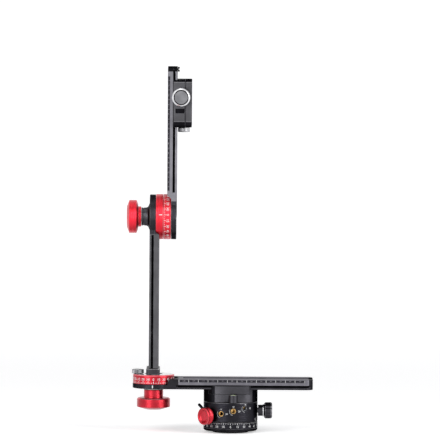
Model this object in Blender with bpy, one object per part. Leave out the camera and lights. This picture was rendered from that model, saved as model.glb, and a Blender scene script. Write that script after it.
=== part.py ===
"""A multi-row panoramic tripod head, as an assembly of separate pieces on real axes.

Metres, +Z up. The origin is the middle of the base's underside, on the pan axis.
X runs to the right along the lower rail, and Y away from the person at the front.
"""

import math

import bmesh
import bpy
from mathutils import Matrix

# Working values that every piece shares
GAP = 0.0003  # between faces that touch on the real head, and round each running fit
OVER = 0.002  # how far a cutter runs past the face that it opens
FACE_STEP = 0.0003  # between two faces of one piece that are nearly flush
MERGE = 0.000001
SMOOTH_ANGLE = math.radians(30)
BIG = 32  # sides of the large rings
MIDDLE = 20  # sides of the knobs and bushes
ROUND_HOLE = 16  # sides of the holes that show
SMALL = 8  # sides of the screws and pins

# Driving dimensions of the rails and of the clamps that grip them
RAIL_WIDTH = 0.038
RAIL_THICK = 0.0106
ARM_THICK = 0.010
DOVETAIL_EDGE = 0.0019
DOVETAIL_DEPTH = 0.0026
LIP_REACH = 0.0015
LIP_LAND = 0.0004
RAIL_EDGE_BREAK = 0.0004
RAIL_CORNER = 0.007
RAIL_CORNER_SIDES = 5
RAIL_SLOT_WIDTH = 0.017
RAIL_SLOT_DEPTH = 0.0012

# Driving dimensions of the pan base, from the bottom up
PAN_OVERHANG = 0.009
FLANGE_OVERHANG = 0.0095
BOSS_HEIGHT = 0.002
FLANGE_HEIGHT = 0.0023
RING_HEIGHT = 0.0067
HOUSING_HEIGHT = 0.0201
HOUSING_WALL = 0.0045
CLAMP_DISC_HEIGHT = 0.0082
SEAT_HEIGHT = 0.0044

# Radii and heights that follow from them
HALF_RAIL = RAIL_WIDTH / 2
LIP_FACE = DOVETAIL_EDGE + LIP_REACH + LIP_LAND
PAN_RADIUS = HALF_RAIL + PAN_OVERHANG
BOSS_RADIUS = PAN_RADIUS - FLANGE_OVERHANG
FLANGE_TOP = BOSS_HEIGHT + FLANGE_HEIGHT
RING_BOTTOM = FLANGE_TOP + GAP
BASE_TOP = RING_BOTTOM + RING_HEIGHT
HOUSING_BOTTOM = BASE_TOP + 2 * GAP
HOUSING_TOP = HOUSING_BOTTOM + HOUSING_HEIGHT
HOUSING_INNER = PAN_RADIUS - HOUSING_WALL
CLAMP_BOTTOM = HOUSING_TOP + GAP
CLAMP_DISC_TOP = CLAMP_BOTTOM + CLAMP_DISC_HEIGHT
SEAT_TOP = CLAMP_DISC_TOP + SEAT_HEIGHT
RAIL_BOTTOM = SEAT_TOP + GAP
RAIL_TOP = RAIL_BOTTOM + RAIL_THICK

# Driving dimensions of the swing joint at the left end of the lower rail
SWING_X = -0.080
RAIL_RIGHT_X = 0.0850
SWING_DISC_THICK = 0.0047
DIAL_OVERHANG = 0.0025
DIAL_HEIGHT = 0.0096
FOOT_HEIGHT = 0.0062
SWING_BOLT_RADIUS = 0.005
FOOT_LEFT = 0.0076
DETENT_KNOB_RADIUS = 0.0062
DETENT_KNOB_ROOM = 0.0026
DIAL_RADIUS = HALF_RAIL + DIAL_OVERHANG
DIMPLE_CIRCLE = FOOT_LEFT + DETENT_KNOB_ROOM + DETENT_KNOB_RADIUS
DISC_TOP = RAIL_BOTTOM + SWING_DISC_THICK
DIAL_BOTTOM = DISC_TOP + GAP
DIAL_TOP = DIAL_BOTTOM + DIAL_HEIGHT
FOOT_BOTTOM = DIAL_TOP + GAP
FOOT_TOP = FOOT_BOTTOM + FOOT_HEIGHT
ARM_BOTTOM = FOOT_TOP + GAP
ARM_LEFT = SWING_X - ARM_THICK / 2
ARM_RIGHT = SWING_X + ARM_THICK / 2

# Driving dimensions of the tilt joint at the top of the lower arm
TILT_RISE = 0.1564
ARM_DISC_OVERHANG = 0.004
ARM_DISC_THICK = 0.0062
TILT_RING_OVERHANG = 0.0005
INDEX_RING_THICK = 0.0073
TILT_DIAL_THICK = 0.0078
DISC_THICK = 0.0057
TILT_SHAFT_RADIUS = 0.005
ARM_DISC_RADIUS = HALF_RAIL + ARM_DISC_OVERHANG
TILT_RING_RADIUS = ARM_DISC_RADIUS + TILT_RING_OVERHANG
TILT_Z = ARM_BOTTOM + TILT_RISE
ARM_DISC_RIGHT = ARM_LEFT + ARM_DISC_THICK
INDEX_LEFT = ARM_DISC_RIGHT + GAP
INDEX_RIGHT = INDEX_LEFT + INDEX_RING_THICK
TILT_DIAL_LEFT = INDEX_RIGHT + GAP
TILT_DIAL_RIGHT = TILT_DIAL_LEFT + TILT_DIAL_THICK
UPPER_DISC_LEFT = TILT_DIAL_RIGHT + GAP
UPPER_RIGHT = UPPER_DISC_LEFT + DISC_THICK
UPPER_LEFT = UPPER_RIGHT - ARM_THICK

# Driving dimensions of the upper rail and of the camera clamp on it
CARRIAGE_RISE = 0.0935
CARRIAGE_LENGTH = 0.0489
RAIL_ABOVE_CARRIAGE = 0.0132
CARRIAGE_WALL = 0.006
CARRIAGE_BODY = 0.0084
PLATE_JAW_DEPTH = 0.0063
CARRIAGE_BOTTOM = TILT_Z + CARRIAGE_RISE
CARRIAGE_TOP = CARRIAGE_BOTTOM + CARRIAGE_LENGTH
UPPER_TOP = CARRIAGE_TOP + RAIL_ABOVE_CARRIAGE
CARRIAGE_INNER = UPPER_RIGHT + GAP
BED_X = CARRIAGE_INNER + CARRIAGE_BODY

# Turns that lay a shape's own Z along another axis
UP = Matrix.Identity(4)
ALONG_X = Matrix(((0, 0, 1, 0), (0, 1, 0, 0), (-1, 0, 0, 0), (0, 0, 0, 1)))
TO_FRONT = Matrix(((1, 0, 0, 0), (0, 0, -1, 0), (0, 1, 0, 0), (0, 0, 0, 1)))
TO_BACK = Matrix(((1, 0, 0, 0), (0, 0, 1, 0), (0, -1, 0, 0), (0, 0, 0, 1)))
DOWN = Matrix(((1, 0, 0, 0), (0, -1, 0, 0), (0, 0, -1, 0), (0, 0, 0, 1)))
YZ_TO_X = Matrix(((0, 0, 1, 0), (1, 0, 0, 0), (0, 1, 0, 0), (0, 0, 0, 1)))


def clear_scene():
    for thing in list(bpy.context.scene.objects):
        bpy.data.objects.remove(thing, do_unlink=True)


def material(name, colour, roughness, metallic):
    paint = bpy.data.materials.new(name)
    paint.use_nodes = True
    shader = paint.node_tree.nodes["Principled BSDF"]
    shader.inputs["Base Color"].default_value = (*colour, 1.0)
    shader.inputs["Roughness"].default_value = roughness
    shader.inputs["Metallic"].default_value = metallic
    return paint


def turned(profile, sides):
    """Spin (radius, height) points about Z; a profile that starts on the axis ends on it."""
    shape = bmesh.new()
    points = [shape.verts.new((radius, 0, height)) for radius, height in profile]
    edges = [shape.edges.new(pair) for pair in zip(points, points[1:])]
    if profile[0][0] > 0:
        edges.append(shape.edges.new((points[-1], points[0])))
    bmesh.ops.spin(
        shape, geom=points + edges, cent=(0, 0, 0), axis=(0, 0, 1),
        angle=math.tau, steps=sides, use_merge=True,
    )
    bmesh.ops.remove_doubles(shape, verts=shape.verts, dist=MERGE)
    bmesh.ops.dissolve_degenerate(shape, edges=shape.edges, dist=MERGE)
    bmesh.ops.recalc_face_normals(shape, faces=shape.faces)
    return shape


def rod(radius, low, high, sides, chamfer=0.0):
    """A solid cylinder from low to high, with the same chamfer at both ends."""
    if chamfer == 0:
        return turned([(0, low), (radius, low), (radius, high), (0, high)], sides)
    profile = [(0, low), (radius - chamfer, low), (radius, low + chamfer)]
    profile += [(radius, high - chamfer), (radius - chamfer, high), (0, high)]
    return turned(profile, sides)


def tube(inner, outer, low, high, sides, chamfer=0.0):
    """A plain ring, with an optional chamfer on its two outer edges."""
    if chamfer == 0:
        return turned([(inner, low), (outer, low), (outer, high), (inner, high)], sides)
    profile = [(inner, low), (outer - chamfer, low), (outer, low + chamfer)]
    profile += [(outer, high - chamfer), (outer - chamfer, high), (inner, high)]
    return turned(profile, sides)


def prism(outline, low, high):
    """Extrude a closed XY outline along Z."""
    shape = bmesh.new()
    face = shape.faces.new([shape.verts.new((x, y, low)) for x, y in outline])
    grown = bmesh.ops.extrude_face_region(shape, geom=[face])["geom"]
    lifted = [item for item in grown if isinstance(item, bmesh.types.BMVert)]
    bmesh.ops.translate(shape, verts=lifted, vec=(0, 0, high - low))
    bmesh.ops.recalc_face_normals(shape, faces=shape.faces)
    return shape


def block(x_range, y_range, z_range):
    left, right = x_range
    front, back = y_range
    return prism([(left, front), (right, front), (right, back), (left, back)], *z_range)


def moved(shape, place):
    shape.transform(place)
    return shape


def shifted(shape, x=0.0, y=0.0, z=0.0):
    return moved(shape, Matrix.Translation((x, y, z)))


def mirrored(outline):
    """The same outline on the other side of its second axis."""
    return [(-across, along) for across, along in outline]


def arc(centre, radius, start, end, steps):
    """Points of a circle's arc between two angles in degrees, both ends included."""
    angles = [math.radians(start + (end - start) * n / steps) for n in range(steps + 1)]
    return [(centre[0] + radius * math.cos(a), centre[1] + radius * math.sin(a)) for a in angles]


def across_x(outline, low, high):
    """Extrude a (y, z) outline along X."""
    return moved(prism(outline, low, high), YZ_TO_X)


def frame(name, parent, origin):
    """An empty on a joint's axis, placed in world coordinates and hung on its parent."""
    empty = bpy.data.objects.new(name, None)
    bpy.context.scene.collection.objects.link(empty)
    empty["origin"] = origin
    empty.parent = parent
    start = parent["origin"] if parent else (0, 0, 0)
    empty.location = [here - there for here, there in zip(origin, start)]
    return empty


def helper(piece, number, kind, shape):
    """A hidden second operand of a Boolean, in the piece's own frame."""
    mesh = bpy.data.meshes.new(f"{piece.name}_{kind.lower()}_{number}")
    shape.to_mesh(mesh)
    shape.free()
    tool = bpy.data.objects.new(mesh.name, mesh)
    bpy.context.scene.collection.objects.link(tool)
    tool.parent = piece
    tool.hide_render = True
    tool.display_type = "WIRE"
    change = piece.modifiers.new(tool.name, "BOOLEAN")
    change.operation = kind
    change.solver = "EXACT"
    change.object = tool
    return tool


def bake(piece, tools):
    """Keep the evaluated mesh, drop the helpers, and shade by angle."""
    bpy.context.view_layer.update()
    ready = piece.evaluated_get(bpy.context.evaluated_depsgraph_get())
    mesh = bpy.data.meshes.new_from_object(ready)
    mesh.name = piece.name
    piece.modifiers.clear()
    piece.data = mesh
    for tool in tools:
        bpy.data.objects.remove(tool, do_unlink=True)
    clean = bmesh.new()
    clean.from_mesh(mesh)
    bmesh.ops.remove_doubles(clean, verts=clean.verts, dist=MERGE)
    bmesh.ops.dissolve_degenerate(clean, edges=clean.edges, dist=MERGE)
    bmesh.ops.holes_fill(clean, edges=[edge for edge in clean.edges if edge.is_boundary], sides=4)
    clean.to_mesh(mesh)
    clean.free()
    mesh.shade_smooth()
    mesh.set_sharp_from_angle(angle=SMOOTH_ANGLE)


def add(name, shape, paint, body, at=(0, 0, 0), turn=UP, first=(), joins=(), keep=None, cuts=(), bevel=0.0):
    """One named piece on its body's empty.

    In the piece's own frame: its first cuts, what joins it, the envelope that it keeps to, and its cuts.
    """
    mesh = bpy.data.meshes.new(name)
    shape.to_mesh(mesh)
    shape.free()
    mesh.materials.append(paint)
    piece = bpy.data.objects.new(name, mesh)
    bpy.context.scene.collection.objects.link(piece)
    piece.parent = body
    piece.location = [here - there for here, there in zip(at, body["origin"])]
    piece.rotation_euler = turn.to_euler()
    if bevel > 0:
        edge = piece.modifiers.new("edge_break", "BEVEL")
        edge.width = bevel
        edge.segments = 1
        edge.limit_method = "ANGLE"
        edge.angle_limit = SMOOTH_ANGLE
    steps = [("DIFFERENCE", extra) for extra in first]
    steps += [("UNION", extra) for extra in joins]
    steps += [("INTERSECT", keep)] if keep else []
    steps += [("DIFFERENCE", extra) for extra in cuts]
    tools = [helper(piece, number, kind, extra) for number, (kind, extra) in enumerate(steps)]
    bake(piece, tools)
    return piece


def lip_outline():
    """Inner outline of a clamp's lip as (across, height) above the seat of the rail."""
    wall = HALF_RAIL + GAP
    slope_start = DOVETAIL_EDGE + GAP * (math.sqrt(2) - 1)
    tip = wall - LIP_REACH
    return [(wall, 0), (wall, slope_start), (tip, slope_start + LIP_REACH), (tip, LIP_FACE)]


def dovetail_groove():
    """Undercut of a rail's right side as (across, height) above its dovetail face."""
    top = DOVETAIL_EDGE + DOVETAIL_DEPTH
    outside = HALF_RAIL + OVER
    return [
        (outside, DOVETAIL_EDGE - OVER), (outside, top),
        (HALF_RAIL - DOVETAIL_DEPTH, top),
    ]


def machine_screw(sizes, low, high):
    """A cap screw whose head starts at low; sizes are its head's and its shank's."""
    head_radius, head_height, shank_radius = sizes
    neck = low + head_height
    return turned([
        (0, low), (head_radius, low), (head_radius, neck),
        (shank_radius, neck), (shank_radius, high), (0, high),
    ], SMALL)


def screw_hole(sizes, low, high, mouth=OVER):
    """The counterbored hole of such a screw, open below its head as far as the mouth."""
    head_radius, head_height, shank_radius = sizes
    neck = low + head_height + GAP
    wide, narrow = head_radius + GAP, shank_radius + GAP
    return turned([
        (0, low - mouth), (wide, low - mouth), (wide, neck),
        (narrow, neck), (narrow, high + GAP), (0, high + GAP),
    ], SMALL)


# Base: everything that stays still on the tripod
BUSHING_RADIUS = 0.0075
BUSHING_HEIGHT = 0.0086
SOCKET_RADIUS = 0.00476
BASE_BORE_RADIUS = 0.0056
BASE_ROUND = 0.0009
RING_WIDTH = 0.004
RING_CHAMFER = 0.0003
SPINDLE_RADIUS = 0.007
SHOULDER_MARGIN = 0.0033
SHOULDER_HEIGHT = 0.0048
SPINDLE_BORE_RADIUS = 0.004
DETENT_ROOM = 0.004
DETENT_THICK = 0.0024
DETENT_SPACE = 0.0004
DETENT_NOTCHES = (24, 12, 18, 36)
NOTCH_DEPTH = 0.0015
NOTCH_SHARE = 0.88
GLIDE_WIDTH = 0.0037
GLIDE_HEIGHT = 0.0023
WEB_THICK = 0.004
NUT_RADIUS = 0.0105
NUT_SIDES = 6
NUT_HEIGHT = 0.0028
NUT_ROOM = 0.0005
RECESS_DEPTH = 0.0021
BEARING_HEIGHT = 0.0006
BASE_SCREW = (0.0026, 0.0026, 0.0014)
BASE_SCREW_MARGIN = 0.0016
BASE_SCREW_ANGLES = (84, 204, 324)
BASE_SCREW_GRIP = 0.0038
BASE_SCREW_SINK = 0.0012

DETENT_RADIUS = HOUSING_INNER - DETENT_ROOM
NUT_RECESS_RADIUS = NUT_RADIUS + NUT_ROOM
BASE_SCREW_CIRCLE = BUSHING_RADIUS + BASE_SCREW[0] + BASE_SCREW_MARGIN
SHOULDER_RADIUS = BASE_SCREW_CIRCLE + SHOULDER_MARGIN
SHOULDER_BOTTOM = BASE_TOP + GAP
SHOULDER_TOP = SHOULDER_BOTTOM + SHOULDER_HEIGHT
WEB_BOTTOM = HOUSING_TOP - WEB_THICK
RECESS_FLOOR = HOUSING_TOP - RECESS_DEPTH
BEARING_BOTTOM = RECESS_FLOOR + GAP
NUT_BOTTOM = BEARING_BOTTOM + BEARING_HEIGHT + GAP
SPINDLE_TOP = NUT_BOTTOM + NUT_HEIGHT
GLIDE_BOTTOM = BASE_TOP + GAP
GLIDE_TOP = GLIDE_BOTTOM + GLIDE_HEIGHT
GLIDE_OUTER = PAN_RADIUS - HOUSING_WALL / 2
GLIDE_INNER = GLIDE_OUTER - GLIDE_WIDTH


def on_circle(radius, angles):
    """Places on a circle round the Z axis, for angles in degrees."""
    return [(radius * math.cos(math.radians(a)), radius * math.sin(math.radians(a))) for a in angles]


def make_base_plate(paint, body):
    hub = PAN_RADIUS - RING_WIDTH - GAP
    bushing_top = BUSHING_HEIGHT + GAP
    plate = turned([
        (BUSHING_RADIUS + GAP, 0), (BOSS_RADIUS, 0), (BOSS_RADIUS, BOSS_HEIGHT),
        (PAN_RADIUS - BASE_ROUND, BOSS_HEIGHT), (PAN_RADIUS, BOSS_HEIGHT + BASE_ROUND),
        (PAN_RADIUS, FLANGE_TOP), (hub, FLANGE_TOP), (hub, BASE_TOP), (BASE_BORE_RADIUS, BASE_TOP),
        (BASE_BORE_RADIUS, bushing_top), (BUSHING_RADIUS + GAP, bushing_top),
    ], BIG)
    holes = [
        shifted(screw_hole(BASE_SCREW, BASE_SCREW_SINK, BASE_TOP + OVER), x, y)
        for x, y in on_circle(BASE_SCREW_CIRCLE, BASE_SCREW_ANGLES)
    ]
    add("base_plate", plate, paint, body, cuts=holes)


def make_base_fittings(black, steel, body):
    ring_inner = PAN_RADIUS - RING_WIDTH
    ring = tube(ring_inner, PAN_RADIUS, RING_BOTTOM, BASE_TOP, BIG, RING_CHAMFER)
    add("degree_ring", ring, black, body)
    bushing = tube(SOCKET_RADIUS, BUSHING_RADIUS, 0, BUSHING_HEIGHT, MIDDLE)
    add("tripod_bushing", bushing, steel, body)
    top = SHOULDER_BOTTOM + BASE_SCREW_GRIP
    for number, (x, y) in enumerate(on_circle(BASE_SCREW_CIRCLE, BASE_SCREW_ANGLES), 1):
        screw = shifted(machine_screw(BASE_SCREW, BASE_SCREW_SINK, top), x, y)
        add(f"base_screw_{number}", screw, steel, body)


def make_spindle(steel, body):
    spindle = turned([
        (SPINDLE_BORE_RADIUS, SHOULDER_BOTTOM), (SHOULDER_RADIUS, SHOULDER_BOTTOM),
        (SHOULDER_RADIUS, SHOULDER_TOP), (SPINDLE_RADIUS, SHOULDER_TOP),
        (SPINDLE_RADIUS, SPINDLE_TOP), (SPINDLE_BORE_RADIUS, SPINDLE_TOP),
    ], MIDDLE)
    shank = BASE_SCREW[2] + GAP
    depth = SHOULDER_BOTTOM + BASE_SCREW_GRIP + GAP
    holes = [
        shifted(rod(shank, SHOULDER_BOTTOM - OVER, depth, SMALL), x, y)
        for x, y in on_circle(BASE_SCREW_CIRCLE, BASE_SCREW_ANGLES)
    ]
    add("spindle", spindle, steel, body, cuts=holes)


def notched_outline(count):
    """A circle with V notches, one of them at angle zero."""
    outline = []
    half = NOTCH_SHARE * 180 / max(DETENT_NOTCHES)
    for number in range(count):
        middle = 360 * number / count
        outline += on_circle(DETENT_RADIUS, [middle - half])
        outline += on_circle(DETENT_RADIUS - NOTCH_DEPTH, [middle])
        outline += on_circle(DETENT_RADIUS, [middle + half])
    return outline


def detent_height(number):
    """Middle of a detent ring, counted from the lowest."""
    return SHOULDER_TOP + DETENT_SPACE + DETENT_THICK / 2 + number * (DETENT_THICK + DETENT_SPACE)


def make_detent_rings(brass, body):
    plunger_direction = math.radians(PLUNGER_ANGLE - 90)
    for number, count in enumerate(DETENT_NOTCHES):
        low = detent_height(number) - DETENT_THICK / 2
        high = low + DETENT_THICK
        ring = prism(notched_outline(count), low, high)
        bore = rod(SPINDLE_RADIUS + GAP, low - OVER, high + OVER, MIDDLE)
        add(
            f"detent_ring_{number + 1}", ring, brass, body,
            turn=Matrix.Rotation(plunger_direction, 4, "Z"), cuts=[bore],
        )


def make_pan_bearing(plastic, steel, body):
    glide = tube(GLIDE_INNER, GLIDE_OUTER, GLIDE_BOTTOM, GLIDE_TOP, BIG)
    add("glide_ring", glide, plastic, body)
    inner = SPINDLE_RADIUS + GAP
    bearing = tube(inner, NUT_RECESS_RADIUS - GAP, BEARING_BOTTOM, BEARING_BOTTOM + BEARING_HEIGHT, MIDDLE)
    add("thrust_bearing", bearing, plastic, body)
    nut = rod(NUT_RADIUS, NUT_BOTTOM, NUT_BOTTOM + NUT_HEIGHT, NUT_SIDES)
    bore = rod(inner, NUT_BOTTOM - OVER, SPINDLE_TOP + OVER, MIDDLE)
    add("retaining_nut", nut, steel, body, cuts=[bore])


# Rotator housing, with the threaded holes that the detent plunger moves between
PLUNGER_HOLE_ANGLES = (-48, -21, 6, 33)
PLUNGER_HOLE_RADIUS = 0.0027
LOCK_ANGLE = 90
LOCK_HOLE_RADIUS = 0.0029
LOCK_RISE = 0.0105
HOUSING_CHAMFER = 0.0003
CLAMP_SCREW = (0.0026, 0.0026, 0.0014)
CLAMP_SCREW_MARGIN = 0.001
CLAMP_SCREW_ANGLES = (60, 180, 300)
CLAMP_SCREW_TOP = 0.0030

PLUNGER_ANGLE = PLUNGER_HOLE_ANGLES[0]
PLUNGER_Z = detent_height(0)
LOCK_Z = HOUSING_BOTTOM + LOCK_RISE
CLAMP_SCREW_CIRCLE = NUT_RECESS_RADIUS + CLAMP_SCREW[0] + CLAMP_SCREW_MARGIN
CLAMP_SCREW_HEAD = CLAMP_DISC_TOP - CLAMP_SCREW_TOP
CLAMP_SCREW_END = WEB_BOTTOM + GAP


def radial_turn(angle):
    """Lay Z outward at this angle from the front, with local Y still up."""
    return Matrix.Rotation(math.radians(angle), 4, "Z") @ TO_FRONT


def radial_hole(radius, angle, height):
    """A cutter through the housing's wall, in world coordinates."""
    start = HOUSING_INNER - OVER
    hole = moved(rod(radius, start, PAN_RADIUS + OVER, ROUND_HOLE), radial_turn(angle))
    return shifted(hole, z=height)


def make_rotator_housing(paint, body):
    inner = SPINDLE_RADIUS + GAP
    rebate = GLIDE_OUTER + GAP
    housing = turned([
        (inner, WEB_BOTTOM), (HOUSING_INNER, WEB_BOTTOM), (HOUSING_INNER, GLIDE_TOP + GAP),
        (rebate, GLIDE_TOP + GAP), (rebate, HOUSING_BOTTOM),
        (PAN_RADIUS - HOUSING_CHAMFER, HOUSING_BOTTOM), (PAN_RADIUS, HOUSING_BOTTOM + HOUSING_CHAMFER),
        (PAN_RADIUS, HOUSING_TOP - HOUSING_CHAMFER), (PAN_RADIUS - HOUSING_CHAMFER, HOUSING_TOP),
        (NUT_RECESS_RADIUS, HOUSING_TOP), (NUT_RECESS_RADIUS, RECESS_FLOOR), (inner, RECESS_FLOOR),
    ], BIG)
    holes = [
        radial_hole(PLUNGER_HOLE_RADIUS, angle, detent_height(number))
        for number, angle in enumerate(PLUNGER_HOLE_ANGLES)
    ]
    holes.append(radial_hole(LOCK_HOLE_RADIUS, LOCK_ANGLE, LOCK_Z))
    shank = CLAMP_SCREW[2] + GAP
    holes += [
        shifted(rod(shank, WEB_BOTTOM - OVER, HOUSING_TOP + OVER, SMALL), x, y)
        for x, y in on_circle(CLAMP_SCREW_CIRCLE, CLAMP_SCREW_ANGLES)
    ]
    add("rotator_housing", housing, paint, body, cuts=holes)


# Detent plunger: a barrel screwed into the housing, and the spool knob that pulls its pin
BARREL_HEAD_RADIUS = 0.0056
BARREL_HEAD_THICK = 0.0026
BARREL_NECK_RADIUS = 0.0032
BARREL_NECK = 0.0022
BARREL_LIP = 0.0008
PIN_RADIUS = 0.001
PIN_TIP_RADIUS = 0.0003
PIN_TIP_GAP = 0.0007
PIN_COLLAR_RADIUS = 0.0017
PIN_COLLAR = 0.001
PLUNGER_TRAVEL = 0.003
SPRING_RADIUS = 0.0017
KNOB_LENGTH = 0.0073
SPOOL_RADIUS = 0.0088
SPOOL_WAIST_RADIUS = 0.0066
SPOOL_FACE_RADIUS = 0.0076
SPOOL_DISH_RADIUS = 0.0048
SPOOL_DISH = 0.0011
SPOOL_SHARES = (0.24, 0.46, 0.74, 0.94)
PIN_IN_KNOB = 0.0022
TOMMY_RADIUS = 0.0015
TOMMY_SPIGOT_RADIUS = 0.0007
TOMMY_END = 0.020
TOMMY_ANGLE = 34
TOMMY_SINK = 0.0020
TOMMY_TIP_RADIUS = 0.0009

BARREL_START = HOUSING_INNER + GAP
BARREL_HEAD_START = PAN_RADIUS + GAP
BARREL_HEAD_END = BARREL_HEAD_START + BARREL_HEAD_THICK
SPOOL_START = BARREL_HEAD_END + GAP
SPOOL_END = SPOOL_START + KNOB_LENGTH
BARREL_END = BARREL_HEAD_END + BARREL_NECK
PIN_TIP = DETENT_RADIUS - NOTCH_DEPTH + PIN_TIP_GAP
CAVITY_START = BARREL_START + BARREL_LIP
CAVITY_END = BARREL_END - BARREL_LIP
TOMMY_MIDDLE = (BARREL_HEAD_START + BARREL_HEAD_END) / 2
TOMMY_START = SPOOL_RADIUS + GAP


def tommy_place():
    """The bar's own frame inside the plunger's: radial, up and to the left."""
    lean = Matrix.Rotation(math.radians(180 - TOMMY_ANGLE), 4, "Z")
    return Matrix.Translation((0, 0, TOMMY_MIDDLE)) @ lean @ ALONG_X


def make_plunger_barrel(steel, black, body):
    place = (0, 0, PLUNGER_Z)
    turn = radial_turn(PLUNGER_ANGLE)
    outer = PLUNGER_HOLE_RADIUS - GAP
    bore = PIN_RADIUS + GAP
    cavity = PIN_COLLAR_RADIUS + GAP
    barrel = turned([
        (bore, BARREL_START), (outer, BARREL_START), (outer, BARREL_HEAD_START),
        (BARREL_HEAD_RADIUS, BARREL_HEAD_START), (BARREL_HEAD_RADIUS, BARREL_HEAD_END),
        (BARREL_NECK_RADIUS, BARREL_HEAD_END), (BARREL_NECK_RADIUS, BARREL_END),
        (bore, BARREL_END), (bore, CAVITY_END), (cavity, CAVITY_END),
        (cavity, CAVITY_START), (bore, CAVITY_START),
    ], ROUND_HOLE)
    socket = rod(TOMMY_SPIGOT_RADIUS + GAP, BARREL_HEAD_RADIUS - TOMMY_SINK - GAP, TOMMY_START, SMALL)
    add("plunger_barrel", barrel, steel, body, place, turn, cuts=[moved(socket, tommy_place())])
    bar = turned([
        (0, BARREL_HEAD_RADIUS - TOMMY_SINK), (TOMMY_SPIGOT_RADIUS, BARREL_HEAD_RADIUS - TOMMY_SINK),
        (TOMMY_SPIGOT_RADIUS, TOMMY_START), (TOMMY_RADIUS, TOMMY_START),
        (TOMMY_RADIUS, TOMMY_END - TOMMY_RADIUS / 2), (TOMMY_TIP_RADIUS, TOMMY_END), (0, TOMMY_END),
    ], SMALL)
    add("plunger_tommy_bar", moved(bar, tommy_place()), black, body, place, turn)


def make_plunger(red, steel, body):
    place = (0, 0, PLUNGER_Z)
    turn = radial_turn(PLUNGER_ANGLE)
    flange, waist, swell, rim = [SPOOL_START + share * KNOB_LENGTH for share in SPOOL_SHARES]
    socket = BARREL_NECK_RADIUS + GAP
    pin_end = BARREL_END + GAP + PIN_IN_KNOB
    knob = turned([
        (0, pin_end + GAP), (PIN_RADIUS + GAP, pin_end + GAP), (PIN_RADIUS + GAP, BARREL_END + GAP),
        (socket, BARREL_END + GAP), (socket, SPOOL_START), (SPOOL_RADIUS, SPOOL_START),
        (SPOOL_RADIUS, flange), (SPOOL_WAIST_RADIUS, waist), (SPOOL_RADIUS, swell),
        (SPOOL_RADIUS, rim), (SPOOL_FACE_RADIUS, SPOOL_END),
        (SPOOL_DISH_RADIUS, SPOOL_END - SPOOL_DISH), (0, SPOOL_END - SPOOL_DISH),
    ], MIDDLE)
    add("plunger_knob", knob, red, body, place, turn)
    collar = CAVITY_START + GAP
    shoulder = PIN_TIP + PIN_RADIUS - PIN_TIP_RADIUS
    pin = turned([
        (0, PIN_TIP), (PIN_TIP_RADIUS, PIN_TIP), (PIN_RADIUS, shoulder),
        (PIN_RADIUS, collar), (PIN_COLLAR_RADIUS, collar), (PIN_COLLAR_RADIUS, collar + PIN_COLLAR),
        (PIN_RADIUS, collar + PIN_COLLAR), (PIN_RADIUS, pin_end), (0, pin_end),
    ], SMALL)
    add("plunger_pin", pin, steel, body, place, turn)
    spring_start = collar + PIN_COLLAR + GAP
    spring_end = CAVITY_END - PLUNGER_TRAVEL - GAP
    spring = tube(PIN_RADIUS + GAP, SPRING_RADIUS, spring_start, spring_end, SMALL)
    add("plunger_spring", spring, steel, body, place, turn)


# Pan lock: a lobed knob at the right whose screw pushes a pad against the detent rings
LOCK_NECK_RADIUS = 0.0058
LOCK_NECK = 0.0064
LOCK_KNOB_RADIUS = 0.0084
LOCK_KNOB = 0.0082
LOCK_CHAMFER = 0.0012
LOCK_KNOB_SIDES = 8
LOCK_SEAT_GAP = 0.0005
PAD_LENGTH = 0.0054
PAD_GAP = 0.0007
LOCK_SCREW_IN_KNOB = 0.0030
LOCK_NECK_START = PAN_RADIUS + LOCK_SEAT_GAP
LOCK_KNOB_START = LOCK_NECK_START + LOCK_NECK
LOCK_KNOB_END = LOCK_KNOB_START + LOCK_KNOB
PAD_START = DETENT_RADIUS + PAD_GAP
PAD_END = PAD_START + PAD_LENGTH


def make_pan_lock(black, steel, plastic, knob_body, pad_body):
    place = (0, 0, LOCK_Z)
    turn = radial_turn(LOCK_ANGLE)
    core = LOCK_HOLE_RADIUS - GAP
    screw_end = LOCK_KNOB_START + LOCK_SCREW_IN_KNOB
    head = rod(LOCK_KNOB_RADIUS, LOCK_KNOB_START, LOCK_KNOB_END, LOCK_KNOB_SIDES, LOCK_CHAMFER)
    neck = rod(LOCK_NECK_RADIUS, LOCK_NECK_START, LOCK_KNOB_START + LOCK_CHAMFER, MIDDLE)
    socket = rod(LOCK_HOLE_RADIUS, LOCK_NECK_START - OVER, screw_end + GAP, SMALL)
    add("pan_lock_knob", head, black, knob_body, place, turn, joins=[neck], cuts=[socket])
    add("pan_lock_screw", rod(core, PAD_END + GAP, screw_end, SMALL), steel, knob_body, place, turn)
    add("pan_brake_pad", rod(core, PAD_START, PAD_END, SMALL), plastic, pad_body, place, turn)


# Clamp knob with a bright bevelled rim, used on both dovetail clamps
GRIP_RADIUS = 0.0094
GRIP_NECK_RADIUS = 0.0052
GRIP_NECK = 0.0027
GRIP_HEAD = 0.0097
GRIP_BEVEL = 0.0018
GRIP_FACE_RADIUS = 0.0074
GRIP_FACE_STEP = 0.0002
GRIP_FACE_DEPTH = 0.0007
GRIP_REAR_CHAMFER = 0.0008
GRIP_SOCKET = 0.0072


def grip_knob(screw_radius, start):
    """The knob from its neck's end outward, with a blind socket for its screw."""
    bore = screw_radius + GAP
    back = start + GRIP_NECK
    end = back + GRIP_HEAD
    step = GRIP_FACE_RADIUS - GRIP_FACE_STEP
    return turned([
        (0, start + GRIP_SOCKET), (bore, start + GRIP_SOCKET), (bore, start),
        (GRIP_NECK_RADIUS, start), (GRIP_NECK_RADIUS, back), (GRIP_RADIUS - GRIP_REAR_CHAMFER, back),
        (GRIP_RADIUS, back + GRIP_REAR_CHAMFER), (GRIP_RADIUS, end - GRIP_BEVEL),
        (GRIP_FACE_RADIUS, end), (step, end - GRIP_FACE_DEPTH), (0, end - GRIP_FACE_DEPTH),
    ], MIDDLE)


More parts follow.
